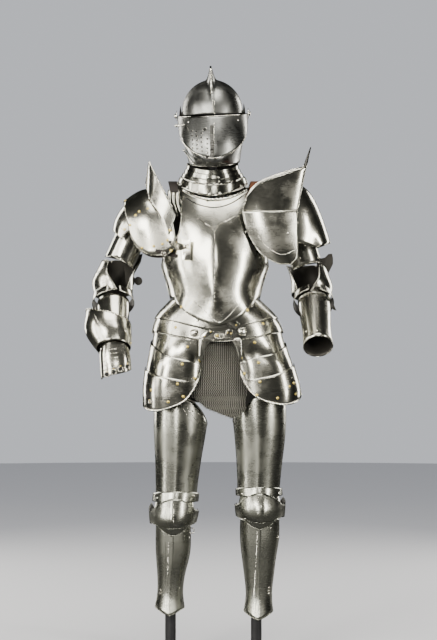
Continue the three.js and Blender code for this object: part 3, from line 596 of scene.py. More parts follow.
def loops_of(piece_name, keep):
    """The rows of points round a plate's outer rim, with their outward normals, where keep allows."""
    piece = bpy.data.objects[piece_name]
    shape = bmesh.new()
    shape.from_object(piece, bpy.context.evaluated_depsgraph_get())
    rim = [e for e in shape.edges if len(e.link_faces) == 2
           and {f.material_index for f in e.link_faces} == {OUTSIDE, EDGE}
           and keep((e.verts[0].co + e.verts[1].co) / 2)]
    outs = {e: next(f.normal.copy() for f in e.link_faces if f.material_index == OUTSIDE) for e in rim}
    edges_at = {}
    for edge in rim:
        for vert in edge.verts:
            edges_at.setdefault(vert, []).append(edge)
    left, rows = set(rim), []
    while left:
        ends = [v for v, es in edges_at.items() if sum(e in left for e in es) == 1]
        vert = ends[0] if ends else next(e for e in rim if e in left).verts[0]
        row, outward = [vert.co.copy()], []
        while True:
            edge = next((e for e in edges_at[vert] if e in left), None)
            if edge is None:
                break
            left.discard(edge)
            vert = edge.other_vert(vert)
            row.append(vert.co.copy())
            outward.append(outs[edge])
        rows.append((row, outward + outward[-1:]))
    shape.free()
    return [r for r in rows if len(r[0]) > 3]


def evenly(points, outs, count):
    """Points and ways out at even steps along a row of points."""
    spans = [0.0]
    for a, b in zip(points, points[1:]):
        spans.append(spans[-1] + (b - a).length)
    places, ways, j = [], [], 0
    for k in range(count + 1):
        at = spans[-1] * k / count
        while j < len(spans) - 2 and spans[j + 1] < at:
            j += 1
        t = (at - spans[j]) / max(spans[j + 1] - spans[j], 1e-9)
        places.append(points[j].lerp(points[j + 1], t))
        ways.append(outs[j].lerp(outs[j + 1], t))
    return places, ways


SUNK = 0.4              # how much of its radius a rim lies inside its edge
ROPE_TURN = 0.26        # how far a rope's section turns at each step


def roll(shape, node, radius, keep=everywhere, roped=False):
    """A rolled or roped rim along part of a plate's edge."""
    section = circle_section(radius, 12, lobes=3, depth=radius * 0.14) if roped else circle_section(radius, 8)
    step = radius * (0.45 if roped else 1.6)
    for points, outs in loops_of(node + "_plate", keep):
        length = sum((b - a).length for a, b in zip(points, points[1:]))
        places, ways = evenly(points, outs, max(int(length / step), 4))
        places = [place - way * radius * SUNK for place, way in zip(places, ways)]
        sweep(shape, section, frames_along(places, ways), twist=ROPE_TURN if roped else 0)


# ---------------------------------------------------------------- rivets

# Spots are (across, up) in millimetres as seen from the front.
NECK_RIVETS = [(-106, 1479), (-87, 1470), (-53, 1458), (-17, 1449), (16, 1451), (51, 1462), (81, 1475),
               (-107, 1504), (-95, 1532), (98, 1488), (87, 1519), (78, 1534)]
NECK_SMALL = [(-56, 1512), (-22, 1501), (-5, 1498), (12, 1501), (44, 1505), (-28, 1487), (14, 1488)]
SHOULDER_R_RIVETS = [(-280, 1429), (-209, 1404), (-237, 1395), (-248, 1383), (-265, 1352), (-282, 1338),
                     (-228, 1281), (-191, 1286), (-164, 1293), (-148, 1305), (-120, 1296), (-137, 1272),
                     (-141, 1336)]
SHOULDER_L_RIVETS = [(228, 1327), (98, 1331), (140, 1251), (281, 1290), (315, 1310)]
WAIST_BRASS = [(6, 1008), (-105, 1097), (-123, 1033), (102, 1087), (150, 1045)]
WAIST_STEEL = [(-91, 1084), (-54, 1054), (115, 1100), (124, 1116), (-34, 984), (62, 994)]
TASSET_BRASS = [(-86, 972), (-48, 929), (-102, 918), (-63, 874), (-117, 856), (-99, 817),
                (-146, 800), (-199, 837), (-204, 804), (81, 937), (92, 889), (136, 923),
                (124, 986), (140, 863), (130, 821), (196, 812), (233, 849), (246, 859), (252, 825)]
LEG_RIVETS = [(-70, 772), (-51, 763), (87, 785), (83, 803), (-181, 501), (-159, 493), (-90, 498), (-66, 507),
              (84, 513), (109, 507), (172, 508), (200, 516), (-175, 407), (-137, 382), (-78, 413), (94, 435),
              (175, 407), (200, 432)]
ARM_RIVETS = [(-279, 1022), (-365, 998), (-356, 966), (-321, 1237), (-293, 1246), (-346, 1237), (-365, 1206),
              (-281, 1212), (321, 1249), (340, 1237), (265, 1249), (284, 1020), (318, 1023)]
HAND_BRASS = [(-262, 984), (-261, 970), (-261, 956), (-261, 942), (-262, 930)]

# Each set of rivets: its name, its material and its spots with their size in common rivets.
RIVETS = [
    ("brass_rivets", "rivet_brass", [(WAIST_BRASS, 1.15), (TASSET_BRASS, 1.15), (HAND_BRASS, 0.8),
                                     (SHOULDER_R_RIVETS, 1.05)]),
    ("steel_rivets", "bright_rim", [(NECK_RIVETS, 1.1), (NECK_SMALL, 0.7), (SHOULDER_L_RIVETS, 1.0),
                                    (WAIST_STEEL, 0.9), (LEG_RIVETS, 0.8), (ARM_RIVETS, 0.8)]),
]
# Rings of rivets at the sides and back: height, middle x and y, first and last angle, and how many.
HIDDEN_RIVETS = [
    (1040, 0, 0, 100, 260, 9), (985, 0, 10, 100, 260, 7), (1462, -6, 0, 110, 250, 7),
    (878, -95, 0, 190, 250, 4), (878, 105, 0, 110, 170, 4), (505, -118, 0, 120, 240, 4),
    (512, 142, 0, 120, 240, 4),
]


class ARMOUR_OT_rivets(bpy.types.Operator):
    """Set the brass and steel rivets"""

    bl_idname = "armour.rivets"
    bl_label = "Rivets"

    def execute(self, context):
        radius = context.scene.armour_fittings.rivet_radius
        surfaces = Surfaces(root_plates())
        for name, material, rows in RIVETS:
            shape = bmesh.new()
            for spots, size in rows:
                for place, out in surfaces.each(spots):
                    dome(shape, place, out, radius * size)
            if name == "steel_rivets":
                self.hidden_sides(shape, surfaces, radius)
            piece = finished(name, shape, [material])
        return {"FINISHED"}

    def hidden_sides(self, shape, surfaces, radius):
        """Rivets at the sides and back."""
        for up, across, deep, first, last, count in HIDDEN_RIVETS:
            middle = Vector((CENTRE + across * MM, DEPTH + deep * MM, up * MM))
            for i in range(count):
                angle = math.radians(first + (last - first) * i / (count - 1))
                hit = surfaces.hit(middle + level(angle), middle)
                if hit:
                    dome(shape, *hit, radius)


# ---------------------------------------------------------------- rolled and roped rims

def across_of(point):
    """How far a point lies beside the centre line, in millimetres."""
    return (point.x - CENTRE) / MM


def depth_of(point):
    """How far a point lies behind the middle plane, in millimetres."""
    return (point.y - DEPTH) / MM


def up_of(point):
    """A point's height in millimetres."""
    return point.z / MM


def above(height):
    """The part of an edge above a height."""
    return lambda point: up_of(point) > height


def below(height):
    """The part of an edge below a height."""
    return lambda point: up_of(point) < height


# Each set of rims: its name, material, slot and body, then its plates with the rim's radius in common rims
# and, where they aren't plain and all round, the part of the edge and whether the rim is roped.
RIMS = [
    ("roped_rims", "bright_rim", "steel", "root", [
        ("breastplate", 1.5, lambda p: up_of(p) > 1350 and abs(across_of(p)) < 100, True),
        ("haute_piece_r", 0.75, above(1400)), ("haute_piece_l", 0.75, above(1392)),
        ("gauntlet_cuff", 1.1, above(1050), True),
        ("tasset_r_3", 1.1, below(868), True), ("cuisse_r", 0.8, above(700)),
        ("tasset_l_3", 1.1, below(868), True), ("cuisse_l", 0.8, above(700)),
        ("neck_front_4", 0.8, below(1500)), ("neck_rear_2", 0.8, below(1500))]),
    ("plain_rims", "body_steel", "steel", "root", [
        ("breastplate", 0.8, lambda p: 1180 < up_of(p) < 1440 and abs(across_of(p)) >= 100),
        ("backplate", 0.9, above(1180)), ("pauldron_r", 0.6), ("pauldron_l", 0.6), ("pauldron_l_guard", 0.6),
        ("culet_hip", 0.6), ("couter_r", 0.6), ("couter_l", 0.6), ("lower_cannon_l", 0.6),
        ("upper_cannon_r", 0.9), ("upper_cannon_l", 0.9), ("pauldron_r_cap", 0.45), ("fauld_hip", 0.45),
        ("helmet_bevor", 0.45, lambda p: depth_of(p) < -40)]),
    ("leg_rims", "satin_leg_steel", "leg_steel", "root", [
        ("poleyn_lower_r", 0.5), ("poleyn_cop_r", 0.4), ("greave_front_r", 0.5, below(200)),
        ("poleyn_lower_l", 0.5), ("poleyn_cop_l", 0.4), ("greave_front_l", 0.5, below(200))]),
    ("visor_rim", "bright_rim", "steel", "visor", [("helmet_visor", 0.5)]),
]


class ARMOUR_OT_rims(bpy.types.Operator):
    """Roll and rope the plates' rims"""

    bl_idname = "armour.rims"
    bl_label = "Rims"

    def execute(self, context):
        rim = context.scene.armour_fittings.rim_radius
        for name, material, slot, body, rows in RIMS:
            shape = bmesh.new()
            for node, size, *extent in rows:
                roll(shape, node, size * rim, *extent)
            finished(name, shape, [material], body=body)
        return {"FINISHED"}


# ---------------------------------------------------------------- helmet

BREATHS = [[(-71, 1646), (-71, 1632), (-70, 1618), (-69, 1605), (-69, 1593)],
           [(-58, 1644), (-57, 1630), (-56, 1616), (-56, 1603), (-55, 1590)],
           [(-42, 1639), (-42, 1625), (-42, 1611), (-41, 1596), (-41, 1583)],
           [(-24, 1621), (-24, 1606), (-24, 1592), (-24, 1578)]]
GREAT_BREATHS = [(-32, 1651), (-32, 1565), (-24, 1565)]
BREATH_RADIUS, GREAT_RADIUS = 2.8 * MM, 5.2 * MM
KEEL = [(-3, 1664), (-3, 1633), (-3, 1596), (-4, 1555)]
KEEL_SIDE = 6.5         # from the keel to the middle of its shaded side
VISOR_STUDS = [(-83, 1673), (72, 1679), (-2, 1669)]
RIDGE = [(-5, 1749), (-4, 1717), (-3, 1688)]
# The comb leans a little and stands to one side of the centre line.
COMB_LEAN = math.radians(-2.2)
COMB_SHIFT = Vector((-7.6 * MM, 0, -10 * MM))


class ARMOUR_OT_helmet(bpy.types.Operator):
    """Finish the helmet: breaths with painted shade inside, keel lines with a strip of painted shade beside
    them, and the roped comb
    """

    bl_idname = "armour.helmet"
    bl_label = "Helmet"

    def execute(self, context):
        visor = Surfaces(["helmet_visor_plate"])
        shape = bmesh.new()
        lips = bmesh.new()
        breaths = [(column, BREATH_RADIUS) for column in BREATHS] + [(GREAT_BREATHS, GREAT_RADIUS)]
        # Each breath gets a near-black disc inside it: painted shade for the dark of the hole.
        for spots, radius in breaths:
            for place, out in visor.each(spots):
                disc(shape, place, out, radius, 2.4 * MM)
                ring(lips, facing(place, out), radius * 1.12, 0.3 * MM, sides=5, steps=12)
        finished("visor_breaths_painted_shade", shape, ["painted_hole_shade"], body="visor")
        finished("breath_lips", lips, ["bright_rim"], body="visor")

        skull = Surfaces(["helmet_skull_plate"])
        shape = bmesh.new()
        for shift in (-2.6, 2.6):
            line = [(across + shift, up) for across, up in RIDGE]
            sweep(shape, circle_section(0.9 * MM), line_on(skull, line))
        self.comb(shape, skull)
        finished("comb_and_ridge", shape, ["bright_rim"])

        shape = bmesh.new()
        sweep(shape, circle_section(0.8 * MM), line_on(visor, KEEL))
        for place, out in visor.each(VISOR_STUDS):
            dome(shape, place, out, 2.6 * MM)
        finished("visor_keel", shape, ["bright_rim"], body="visor")

        # A dark strip beside the keel: painted shade on the keel's shaded side.
        shape = bmesh.new()
        shade = line_on(visor, [(across - KEEL_SIDE, up) for across, up in KEEL])
        sweep(shape, strap_section(11 * MM, 0.6 * MM), shade)
        finished("visor_keel_painted_shade", shape, ["painted_shade_steel"], body="visor")
        return {"FINISHED"}

    def comb(self, shape, skull):
        """A roped cord along the crest of the comb."""
        low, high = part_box("helmet_skull")
        middle = (low + high) / 2
        middle.x = CENTRE
        middle += COMB_SHIFT
        up = Vector((math.sin(COMB_LEAN), 0, math.cos(COMB_LEAN)))
        points, outs = [], []
        for angle in range(30, 175, 2):
            away = up * math.sin(math.radians(angle)) - Vector((0, 1, 0)) * math.cos(math.radians(angle))
            hit = skull.hit(middle + away * OUTER, middle)
            if hit:
                points.append(hit[0])
                outs.append(away)
        section = circle_section(2.7 * MM, 10, lobes=2, depth=0.55 * MM)
        sweep(shape, section, frames_along(*evenly(points, outs, 170)), twist=0.3)


# ---------------------------------------------------------------- lines, grooves and borders

# Each line: the plates that it lies on, its radius in millimetres, and its spots.
RAISED_LINES = [
    ("breastplate", 1.6, [(-53, 1374), (-34, 1360), (-16, 1349), (-1, 1332)]),
    ("breastplate", 1.6, [(-1, 1332), (9, 1349), (31, 1363), (56, 1376), (84, 1390)]),
    ("breastplate", 0.8, [(-1, 1329), (-1, 1243), (-1, 1150), (1, 1056)]),
    ("breastplate", 1.3, [(-66, 1115), (-37, 1089), (5, 1048)]),
    ("breastplate", 1.3, [(5, 1048), (32, 1058), (87, 1118)]),
    ("fauld", 0.8, [(-2, 998), (-16, 987), (-27, 975), (-34, 963)]),
    ("fauld", 0.8, [(41, 1004), (53, 987), (67, 966)]),
    ("cuisse_r", 1.3, [(-95, 794), (-78, 769), (-56, 739)]),
    ("cuisse_r", 0.9, [(-109, 797), (-90, 764), (-67, 732)]),
    ("cuisse_l", 1.3, [(128, 799), (105, 775), (81, 752)]),
    ("greave_front_r", 0.9, [(-146, 363), (-147, 292), (-149, 214), (-151, 154)]),
    ("greave_front_l", 0.9, [(133, 420), (128, 307), (122, 214), (117, 136)]),
    ("poleyn_cop_r", 0.9, [(-130, 485), (-129, 448), (-129, 410)]),
    ("poleyn_cop_l", 0.9, [(134, 507), (134, 469), (133, 429)]),
    ("pauldron_l_guard", 0.9, [(125, 1350), (136, 1318), (155, 1291), (178, 1273), (203, 1261), (228, 1264),
                               (251, 1276)]),
    ("pauldron_r", 0.8, [(-201, 1420), (-184, 1393), (-162, 1363), (-144, 1324)]),
    ("couter_r", 1.0, [(-356, 1246), (-371, 1218), (-379, 1184), (-379, 1159)]),
    ("gauntlet_cuff", 1.0, [(-377, 1075), (-362, 1044), (-343, 1009), (-325, 976)]),
]
# Dark lines of painted shade: in grooves, in joints between plates, under a turned edge and beside ridges.
PAINTED_SHADE_LINES = [
    ("tasset_r", 0.9, [(-197, 818), (-181, 810), (-163, 807), (-134, 812), (-103, 828)]),
    ("tasset_l", 0.9, [(130, 856), (147, 839), (168, 829), (203, 831), (238, 842)]),
    ("breastplate", 3.2, [(-90, 1437), (-59, 1419), (-28, 1410), (-2, 1407), (25, 1411), (56, 1423),
                          (87, 1443)]),
    (("fauld", "breastplate"), 2.0, [(-44, 1029), (-36, 1031), (-27, 1038)]),
    (("fauld", "breastplate"), 2.4, [(34, 1045), (42, 1034), (53, 1030), (64, 1026), (61, 1012), (51, 1001)]),
    ("greave_front_r", 0.8, [(-154, 363), (-154, 292), (-156, 214), (-157, 157)]),
    ("greave_front_l", 0.8, [(140, 420), (136, 307), (130, 214), (125, 139)]),
]


class ARMOUR_OT_lines(bpy.types.Operator):
    """Raise the ridges and borders, and sink the grooves as dark lines of painted shade"""

    bl_idname = "armour.lines"
    bl_label = "Lines"

    def execute(self, context):
        for name, material, lines, sink in (("raised_lines", "bright_rim", RAISED_LINES, 0.35),
                                            ("groove_painted_shade", "painted_hole_shade", PAINTED_SHADE_LINES, 0.6)):
            shape = bmesh.new()
            for starts, radius, spots in lines:
                section = circle_section(radius * MM, sink=radius * MM * sink)
                sweep(shape, section, line_on(Surfaces(plates_of(starts)), spots))
            finished(name, shape, [material])
        return {"FINISHED"}


# ---------------------------------------------------------------- mail

# From ring to ring, and from row to row, in ring radii.
PITCH, ROW_HEIGHT = 1.5, 1.15
RING_LEAN = 48          # how far a ring leans, in degrees
SKIRT_RADIUS = 0.17     # the skirt's radius where nothing is met
LEAST_RADIUS = 0.05     # the least radius that sets the step to the next ring


class ARMOUR_OT_mail(bpy.types.Operator):
    """Lay the rings of the mail skirt over a dark cloth, whose near-black colour is painted shade in the
    depth of the mail
    """

    bl_idname = "armour.mail"
    bl_label = "Mail"

    def execute(self, context):
        size = context.scene.armour_mail
        cloth = finished("mail_cloth", quad_copy("mail_skirt"), ["mail_painted_shade"], "mail_skirt")
        sides = [self.rings("mail_cloth", size, ahead) for ahead in (True, False)]
        return {"FINISHED"}

    def rings(self, name, size, ahead):
        """Rings side by side in rows, every second row half a ring along and leaning the other way."""
        cloth = Surfaces([name])
        pattern = bmesh.new()
        ring(pattern, Matrix.Identity(4), size.ring_radius, size.wire_radius)
        one = bpy.data.meshes.new("ring")
        pattern.to_mesh(one)
        pattern.free()
        low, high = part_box("mail_skirt")
        middle = Vector(((low.x + high.x) / 2, (low.y + high.y) / 2, 0))
        pitch = size.ring_radius * PITCH
        row_height = size.ring_radius * ROW_HEIGHT
        shape = bmesh.new()
        for row in range(int((high.z - low.z) / row_height)):
            centre = middle + Vector((0, 0, low.z + (row + 0.5) * row_height))
            lean = Matrix.Rotation(math.radians(RING_LEAN if row % 2 else -RING_LEAN), 4, "Y")
            angle = -math.pi + (row % 2) * 0.5 * pitch / SKIRT_RADIUS
            while angle < math.pi:
                hit = cloth.hit(centre + level(angle) * OUTER, centre)
                reach = SKIRT_RADIUS
                if hit:
                    reach = max((hit[0] - middle).to_2d().length, LEAST_RADIUS)
                    if (depth_of(hit[0]) < 0) == ahead and self.shows(hit[0]):
                        copy = one.copy()
                        copy.transform(facing(hit[0] + hit[1] * size.wire_radius, hit[1]) @ lean)
                        shape.from_mesh(copy)
                        bpy.data.meshes.remove(copy)
                angle += pitch / reach
        bpy.data.meshes.remove(one)
        return finished("mail_rings_front" if ahead else "mail_rings_back", shape, ["mail_iron"])

    def shows(self, place):
        """Rings are laid where the plates leave the mail bare: between the tassets and below the culet."""
        if depth_of(place) < 0:
            return -75 < across_of(place) < 95 and up_of(place) < 990
        return up_of(place) < 935


# ---------------------------------------------------------------- straps, buckles and small plates

def strap_section(width, thick):
    """A flat strap's section: its width along the surface, its thickness outwards."""
    half = width / 2
    return [(-half, 0), (half, 0), (half, thick * 0.7), (half * 0.86, thick), (-half * 0.86, thick),
            (-half, thick * 0.7)]


def lifted(frames, height):
    """The same frames a little further out of the surface."""
    return [f @ Matrix.Translation((0, height, 0)) for f in frames]


ROUNDNESS = 2.6         # 2 is an ellipse; more comes nearer to a rectangle


def loop_frames(place, width, height, count=24):
    """Frames round a rounded buckle or ring that lies flat on a place (x across, y out, z along)."""
    points = []
    for i in range(count + 1):
        across, along = math.cos(2 * math.pi * i / count), math.sin(2 * math.pi * i / count)
        reach = (abs(across) ** ROUNDNESS + abs(along) ** ROUNDNESS) ** (-1 / ROUNDNESS)
        points.append(place @ Vector((width / 2 * across * reach, 0, height / 2 * along * reach)))
    return frames_along(points, [out_of(place)] * len(points))


def out_of(place):
    """The way out of the surface at a frame."""
    return (place.to_3x3() @ Vector((0, 1, 0))).normalized()


def upright(place, out, tilt=0.0, height=0.0):
    """A frame on a surface whose long side stands up, tilted by an angle in degrees and lifted."""
    tilt = math.radians(tilt)
    place = frame_at(place, out, Vector((math.sin(tilt), 0, math.cos(tilt))))
    return place @ Matrix.Translation((0, height, 0))


def shell(shape, rows, thick):
    """A thin plate over rows of points."""
    part = bmesh.new()
    grid = [[part.verts.new(p) for p in row] for row in rows]
    for a, b in zip(grid, grid[1:]):
        for k in range(len(a) - 1):
            part.faces.new((a[k], a[k + 1], b[k + 1], b[k]))
    bmesh.ops.recalc_face_normals(part, faces=part.faces)
    bmesh.ops.solidify(part, geom=part.faces[:], thickness=thick)
    bmesh.ops.recalc_face_normals(part, faces=part.faces)
    absorb(shape, part)


def small_plate(shape, place, width, height, thick):
    """A small plate with a bevelled edge."""
    part = bmesh.new()
    bmesh.ops.create_cube(part, size=1, matrix=place @ Matrix.Diagonal((width, thick, height, 1)))
    bmesh.ops.bevel(part, geom=part.edges[:], offset=min(thick * 0.4, width * 0.1), offset_type="OFFSET",
                    affect="EDGES", segments=2, profile=0.5, material=-1)
    absorb(shape, part)


# A strap: its spots, width and thickness in millimetres. A buckle: its spot, size and tilt in degrees.
STRAPS_SEEN = [
    ([(-185, 1273), (-162, 1266), (-140, 1259), (-116, 1255)], 10, 2.4),
    ([(-207, 811), (-212, 831), (-213, 856)], 12, 2.2),
    ([(-196, 504), (-193, 526), (-190, 547)], 9, 2.0),
    ([(218, 513), (217, 529), (217, 544)], 9, 2.0),
]
BUCKLES = [
    ((-160, 1262), 16, 11, 16), ((14, 1006), 30, 14, 4), ((-200, 800), 12, 10, 0),
]
RING_DISCS = [((-64, 1015), 24), ((85, 1020), 24)]
WAIST_PLATES = [((57, 1048), 40, 20, 42), ((-23, 1013), 38, 14, -36), ((44, 1015), 20, 26, 12)]
SHOULDER_ANCHOR = (-90, 1418)
SHOULDER_FOLDS = [
    [(-145, 1462), (-150, 1434), (-145, 1405), (-133, 1371)],
    [(-133, 1463), (-137, 1434), (-132, 1405), (-121, 1374)],
    [(-121, 1463), (-124, 1434), (-120, 1409), (-110, 1381)],
    [(-109, 1462), (-111, 1437), (-108, 1412), (-99, 1390)],
]


class ARMOUR_OT_straps(bpy.types.Operator):
    """Add the straps, buckles and small waist plates"""

    bl_idname = "armour.straps"
    bl_label = "Straps and buckles"

    def execute(self, context):
        surfaces = Surfaces(root_plates())
        leather, metal, brass = bmesh.new(), bmesh.new(), bmesh.new()
        for spots, width, thick in STRAPS_SEEN:
            sweep(leather, strap_section(width * MM, thick * MM), lifted(line_on(surfaces, spots), 0.2 * MM))
        for place, out, width, height, tilt in surfaces.rows(BUCKLES):
            buckle = upright(place, out, tilt, 2.6 * MM)
            sweep(metal, circle_section(1.3 * MM, 7), loop_frames(buckle, width * MM, height * MM))
            tongue = [buckle @ Matrix.Translation((0, 0.6 * MM, t * height * MM)) for t in (-0.5, 0, 0.5)]
            sweep(metal, circle_section(0.9 * MM), tongue)
        for place, out, size in surfaces.rows(RING_DISCS):
            disc(metal, place + out * 0.3 * MM, out, size * MM * 0.5, 1.4 * MM)
            rim = loop_frames(upright(place, out, height=1.2 * MM), size * MM, size * MM)
            sweep(metal, circle_section(1.1 * MM, 7), rim)
            dome(metal, place + out * MM, out, 2.4 * MM)
        for place, out, width, height, tilt in surfaces.rows(WAIST_PLATES):
            plate = upright(place, out, tilt, 1.4 * MM)
            small_plate(metal, plate, width * MM, height * MM, 2.2 * MM)
            for end in (-0.3, 0.3):
                dome(brass, plate @ Vector((end * width * MM, 1.2 * MM, 0)), out_of(plate), 2.6 * MM)
        self.leg_catches(metal)
        folds, corners, lames = bmesh.new(), bmesh.new(), bmesh.new()
        self.shoulder_folds(folds)
        finished("shoulder_folds", folds, ["body_steel"])
        self.fauld_arch(corners)
        finished("arch_corners", corners, ["body_steel"])
        self.knee_lames(lames)
        finished("knee_side_lames", lames, ["satin_leg_steel"])
        finished("leather_straps", leather, ["dark_leather"], smooth=False)
        finished("buckles_and_plates", metal, ["bright_rim"])
        finished("brass_studs", brass, ["rivet_brass"])
        return {"FINISHED"}

    def shoulder_folds(self, shape):
        """The overlapping strips beside the right armhole, each a little bowed."""
        edge = Surfaces(["breastplate_plate"]).seen(SHOULDER_ANCHOR)[0].y
        for k, (left, right) in enumerate(zip(SHOULDER_FOLDS, SHOULDER_FOLDS[1:])):
            rows = [[at_depth(a.lerp(b, t), edge + (14 - 4 * k - 5 * math.sin(math.pi * t)) * MM)
                     for t in (0, 0.33, 0.67, 1)]
                    for a, b in zip(smooth_row(left, 6), smooth_row(right, 6))]
            shell(shape, rows, 1.6 * MM)

    def leg_catches(self, shape):
        """The ring hook below the right knee and the turning catches at the greaves' sides."""
        legs = Surfaces(plates_of(LEGS))
        right, ahead, up = Vector((1, 0, 0)), Vector((0, -1, 0)), Vector((0, 0, 1))
        low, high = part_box("greave_front_r")
        side = Vector((high.x, (low.y + high.y) / 2, 402 * MM))
        hit = legs.hit(side + right * 0.1, side - right * 0.1)
        if hit:
            eye = frame_at(hit[0] + right * 9 * MM, ahead, up)
            sweep(shape, circle_section(1.4 * MM, 7), loop_frames(eye, 16 * MM, 16 * MM))
            stem = [frame_at(hit[0] + right * d * MM, ahead, right) for d in (-1, 2)]
            sweep(shape, circle_section(2.2 * MM, 8), stem)
        for node, heights in (("greave_front_r", (205, 214)), ("greave_front_l", (222, 378))):
            low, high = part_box(node)
            for sign in (-1, 1):
                for height in heights:
                    middle = Vector(((low.x + high.x) / 2, low.y + 0.62 * (high.y - low.y), height * MM))
                    hit = legs.hit(middle + right * sign * 0.3, middle)
                    if hit:
                        dome(shape, *hit, 3.4 * MM, flat=1.0)
                        small_plate(shape, upright(*hit, height=3 * MM), 4 * MM, 11 * MM, 2.4 * MM)

    def knee_lames(self, shape):
        """The narrow lames that join each knee's cop to the upper lame at its sides."""
        for side in "rl":
            upper = Surfaces([f"poleyn_upper_{side}_plate"])
            lower = Surfaces([f"poleyn_cop_{side}_plate", f"poleyn_lower_{side}_plate"])
            low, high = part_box(f"poleyn_upper_{side}")
            for first, last in ((-106, -22), (22, 106)):
                rows = []
                for k in range(13):
                    away = level(math.radians(first + (last - first) * k / 12)) * 0.2
                    row = []
                    for plates, height in ((upper, low.z + 9 * MM), (lower, low.z - 24 * MM)):
                        middle = Vector(((low.x + high.x) / 2, high.y - 45 * MM, height))
                        hit = plates.hit(middle + away, middle)
                        if hit and (hit[0] - middle).length > 30 * MM:
                            row.append(hit[0] - hit[1] * 2.4 * MM)
                    if len(row) == 2:
                        rows.append([row[0].lerp(row[1], t / 3) for t in range(4)])
                if len(rows) > 2:
                    shell(shape, rows, 1.4 * MM)

    def fauld_arch(self, shape):
        """The curved corners that narrow the fauld's arch over the mail."""
        hip = Surfaces(plates_of("fauld_hip"))
        for outer, corner in ARCH_CORNERS:
            depth = hip.seen((corner[0][0], corner[0][1] + 6))[0].y + 1.5 * MM
            rows = [[at_depth((outer + (across - outer) * k / 4, up), depth) for k in range(5)]
                    for across, up in corner]
            shell(shape, rows, 1.8 * MM)


# Each corner of the fauld's arch: its outer side, then the arch's edge going down.
ARCH_CORNERS = [
    (-50, [(-4, 1000), (-12, 991), (-22, 980), (-31, 966), (-36, 947), (-39, 928)]),
    (84, [(44, 1000), (52, 991), (59, 980), (67, 966), (72, 947), (75, 928)]),
]

# The lines between the gauntlet's metacarpal lames, and the openings where the fingers would be.
HAND_LINES = [[(-345, 956), (-328, 964), (-306, 967)], [(-347, 941), (-328, 950), (-303, 954)],
              [(-348, 926), (-328, 936), (-301, 941)], [(-348, 912), (-328, 921), (-301, 927)],
              [(-348, 898), (-328, 906), (-304, 912)]]
KNUCKLES = [(-337, 886), (-316, 894), (-295, 903), (-274, 911)]


class ARMOUR_OT_hand(bpy.types.Operator):
    """Finish the gauntlet's lames and knuckles, with painted shade under the lames and in the openings"""

    bl_idname = "armour.hand"
    bl_label = "Gauntlet"

    def execute(self, context):
        hand = Surfaces(plates_of("gauntlet"))
        metal, dark, brass = bmesh.new(), bmesh.new(), bmesh.new()
        for spots in HAND_LINES:
            frames = line_on(hand, spots)
            sweep(metal, circle_section(0.9 * MM, sink=0.3 * MM), frames)
            # Just below each line, a thin near-black line of painted shade under the lame's edge.
            down = [Matrix.Translation((0, 0, -1.4 * MM)) @ f for f in frames]
            sweep(dark, circle_section(0.7 * MM, sink=0.35 * MM), down)
        # In each knuckle opening, a near-black disc of painted shade.
        for place, out in hand.each(KNUCKLES):
            disc(dark, place + out * 0.2 * MM, out, 6.4 * MM, 1.0 * MM)
            rim = loop_frames(upright(place, out, height=0.8 * MM), 14.5 * MM, 14.5 * MM)
            sweep(metal, circle_section(1.3 * MM, 7), rim)
            dome(brass, place + out * MM + Vector((0, 0, 8.5 * MM)), out, 2.2 * MM)
        finished("gauntlet_lames", metal, ["bright_rim"])
        finished("gauntlet_painted_shade", dark, ["painted_hole_shade"])
        finished("gauntlet_studs", brass, ["rivet_brass"])
        return {"FINISHED"}


# Flat wings at the elbows: the arm that each sits on, its distance behind the elbow's middle and its outline.
WINGS = [
    ("couter_l", 12, [(317, 1245), (343, 1251), (354, 1262), (365, 1263), (368, 1249), (368, 1231),
                      (356, 1206), (343, 1192), (320, 1181)]),
    ("couter_l", -14, [(334, 1148), (346, 1142), (362, 1122), (379, 1085), (370, 1088), (353, 1108),
                       (331, 1126)]),
    ("couter_r", 10, [(-284, 1237), (-271, 1249), (-246, 1256), (-225, 1264), (-231, 1237), (-246, 1209),
                      (-256, 1195), (-250, 1187), (-251, 1167), (-264, 1159), (-278, 1168)]),
    ("couter_r", 4, [(-252, 1178), (-250, 1186), (-244, 1191), (-236, 1191), (-229, 1186), (-226, 1178),
                     (-228, 1170), (-234, 1165), (-242, 1164), (-249, 1169)]),
]
WING_BOW = 5 * MM       # how far the middle of a wing's outline stands back


class ARMOUR_OT_wings(bpy.types.Operator):
    """Add the wings and the boss that stand out at the elbows"""

    bl_idname = "armour.wings"
    bl_label = "Elbow wings"

    def execute(self, context):
        shape = bmesh.new()
        for node, back, outline in WINGS:
            low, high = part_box(node)
            depth = (low.y + high.y) / 2 + back * MM
            part = bmesh.new()
            verts = []
            for i, spot in enumerate(outline):
                bow = WING_BOW * math.sin(math.pi * i / len(outline))
                verts.append(part.verts.new(at_depth(spot, depth + bow)))
            face = part.faces.new(verts)
            bmesh.ops.triangulate(part, faces=[face])
            bmesh.ops.subdivide_edges(part, edges=part.edges[:], cuts=1, use_grid_fill=True)
            bmesh.ops.solidify(part, geom=part.faces[:], thickness=2.0 * MM)
            bmesh.ops.recalc_face_normals(part, faces=part.faces)
            absorb(shape, part)
        finished("elbow_wings", shape, ["inside_steel"], smooth=False)
        return {"FINISHED"}


# ---------------------------------------------------------------- stage

CREAM = (1.0, 0.965, 0.88)
# Each soft light: its name, place, width and height, and power.
LIGHTS = [
    ("key_left", (-1.75, -4.3, 1.6), (0.7, 1.7), 95), ("side_left", (-3.0, -1.0, 1.5), (0.4, 2.4), 55),
    ("side_right", (2.7, -2.0, 1.6), (0.4, 2.2), 75), ("above", (0.2, -1.2, 3.7), (2.0, 1.3), 85),
    ("left_mid", (-3.6, -2.6, 1.9), (1.4, 2.2), 80), ("front_high", (0.5, -5.8, 3.1), (0.9, 0.6), 35),
    ("left_high", (-2.3, -3.7, 3.0), (1.5, 1.3), 120), ("back_left", (-2.2, 2.6, 1.8), (0.7, 2.4), 75),
    ("back_right", (2.2, 2.6, 1.8), (0.7, 2.4), 75),
]


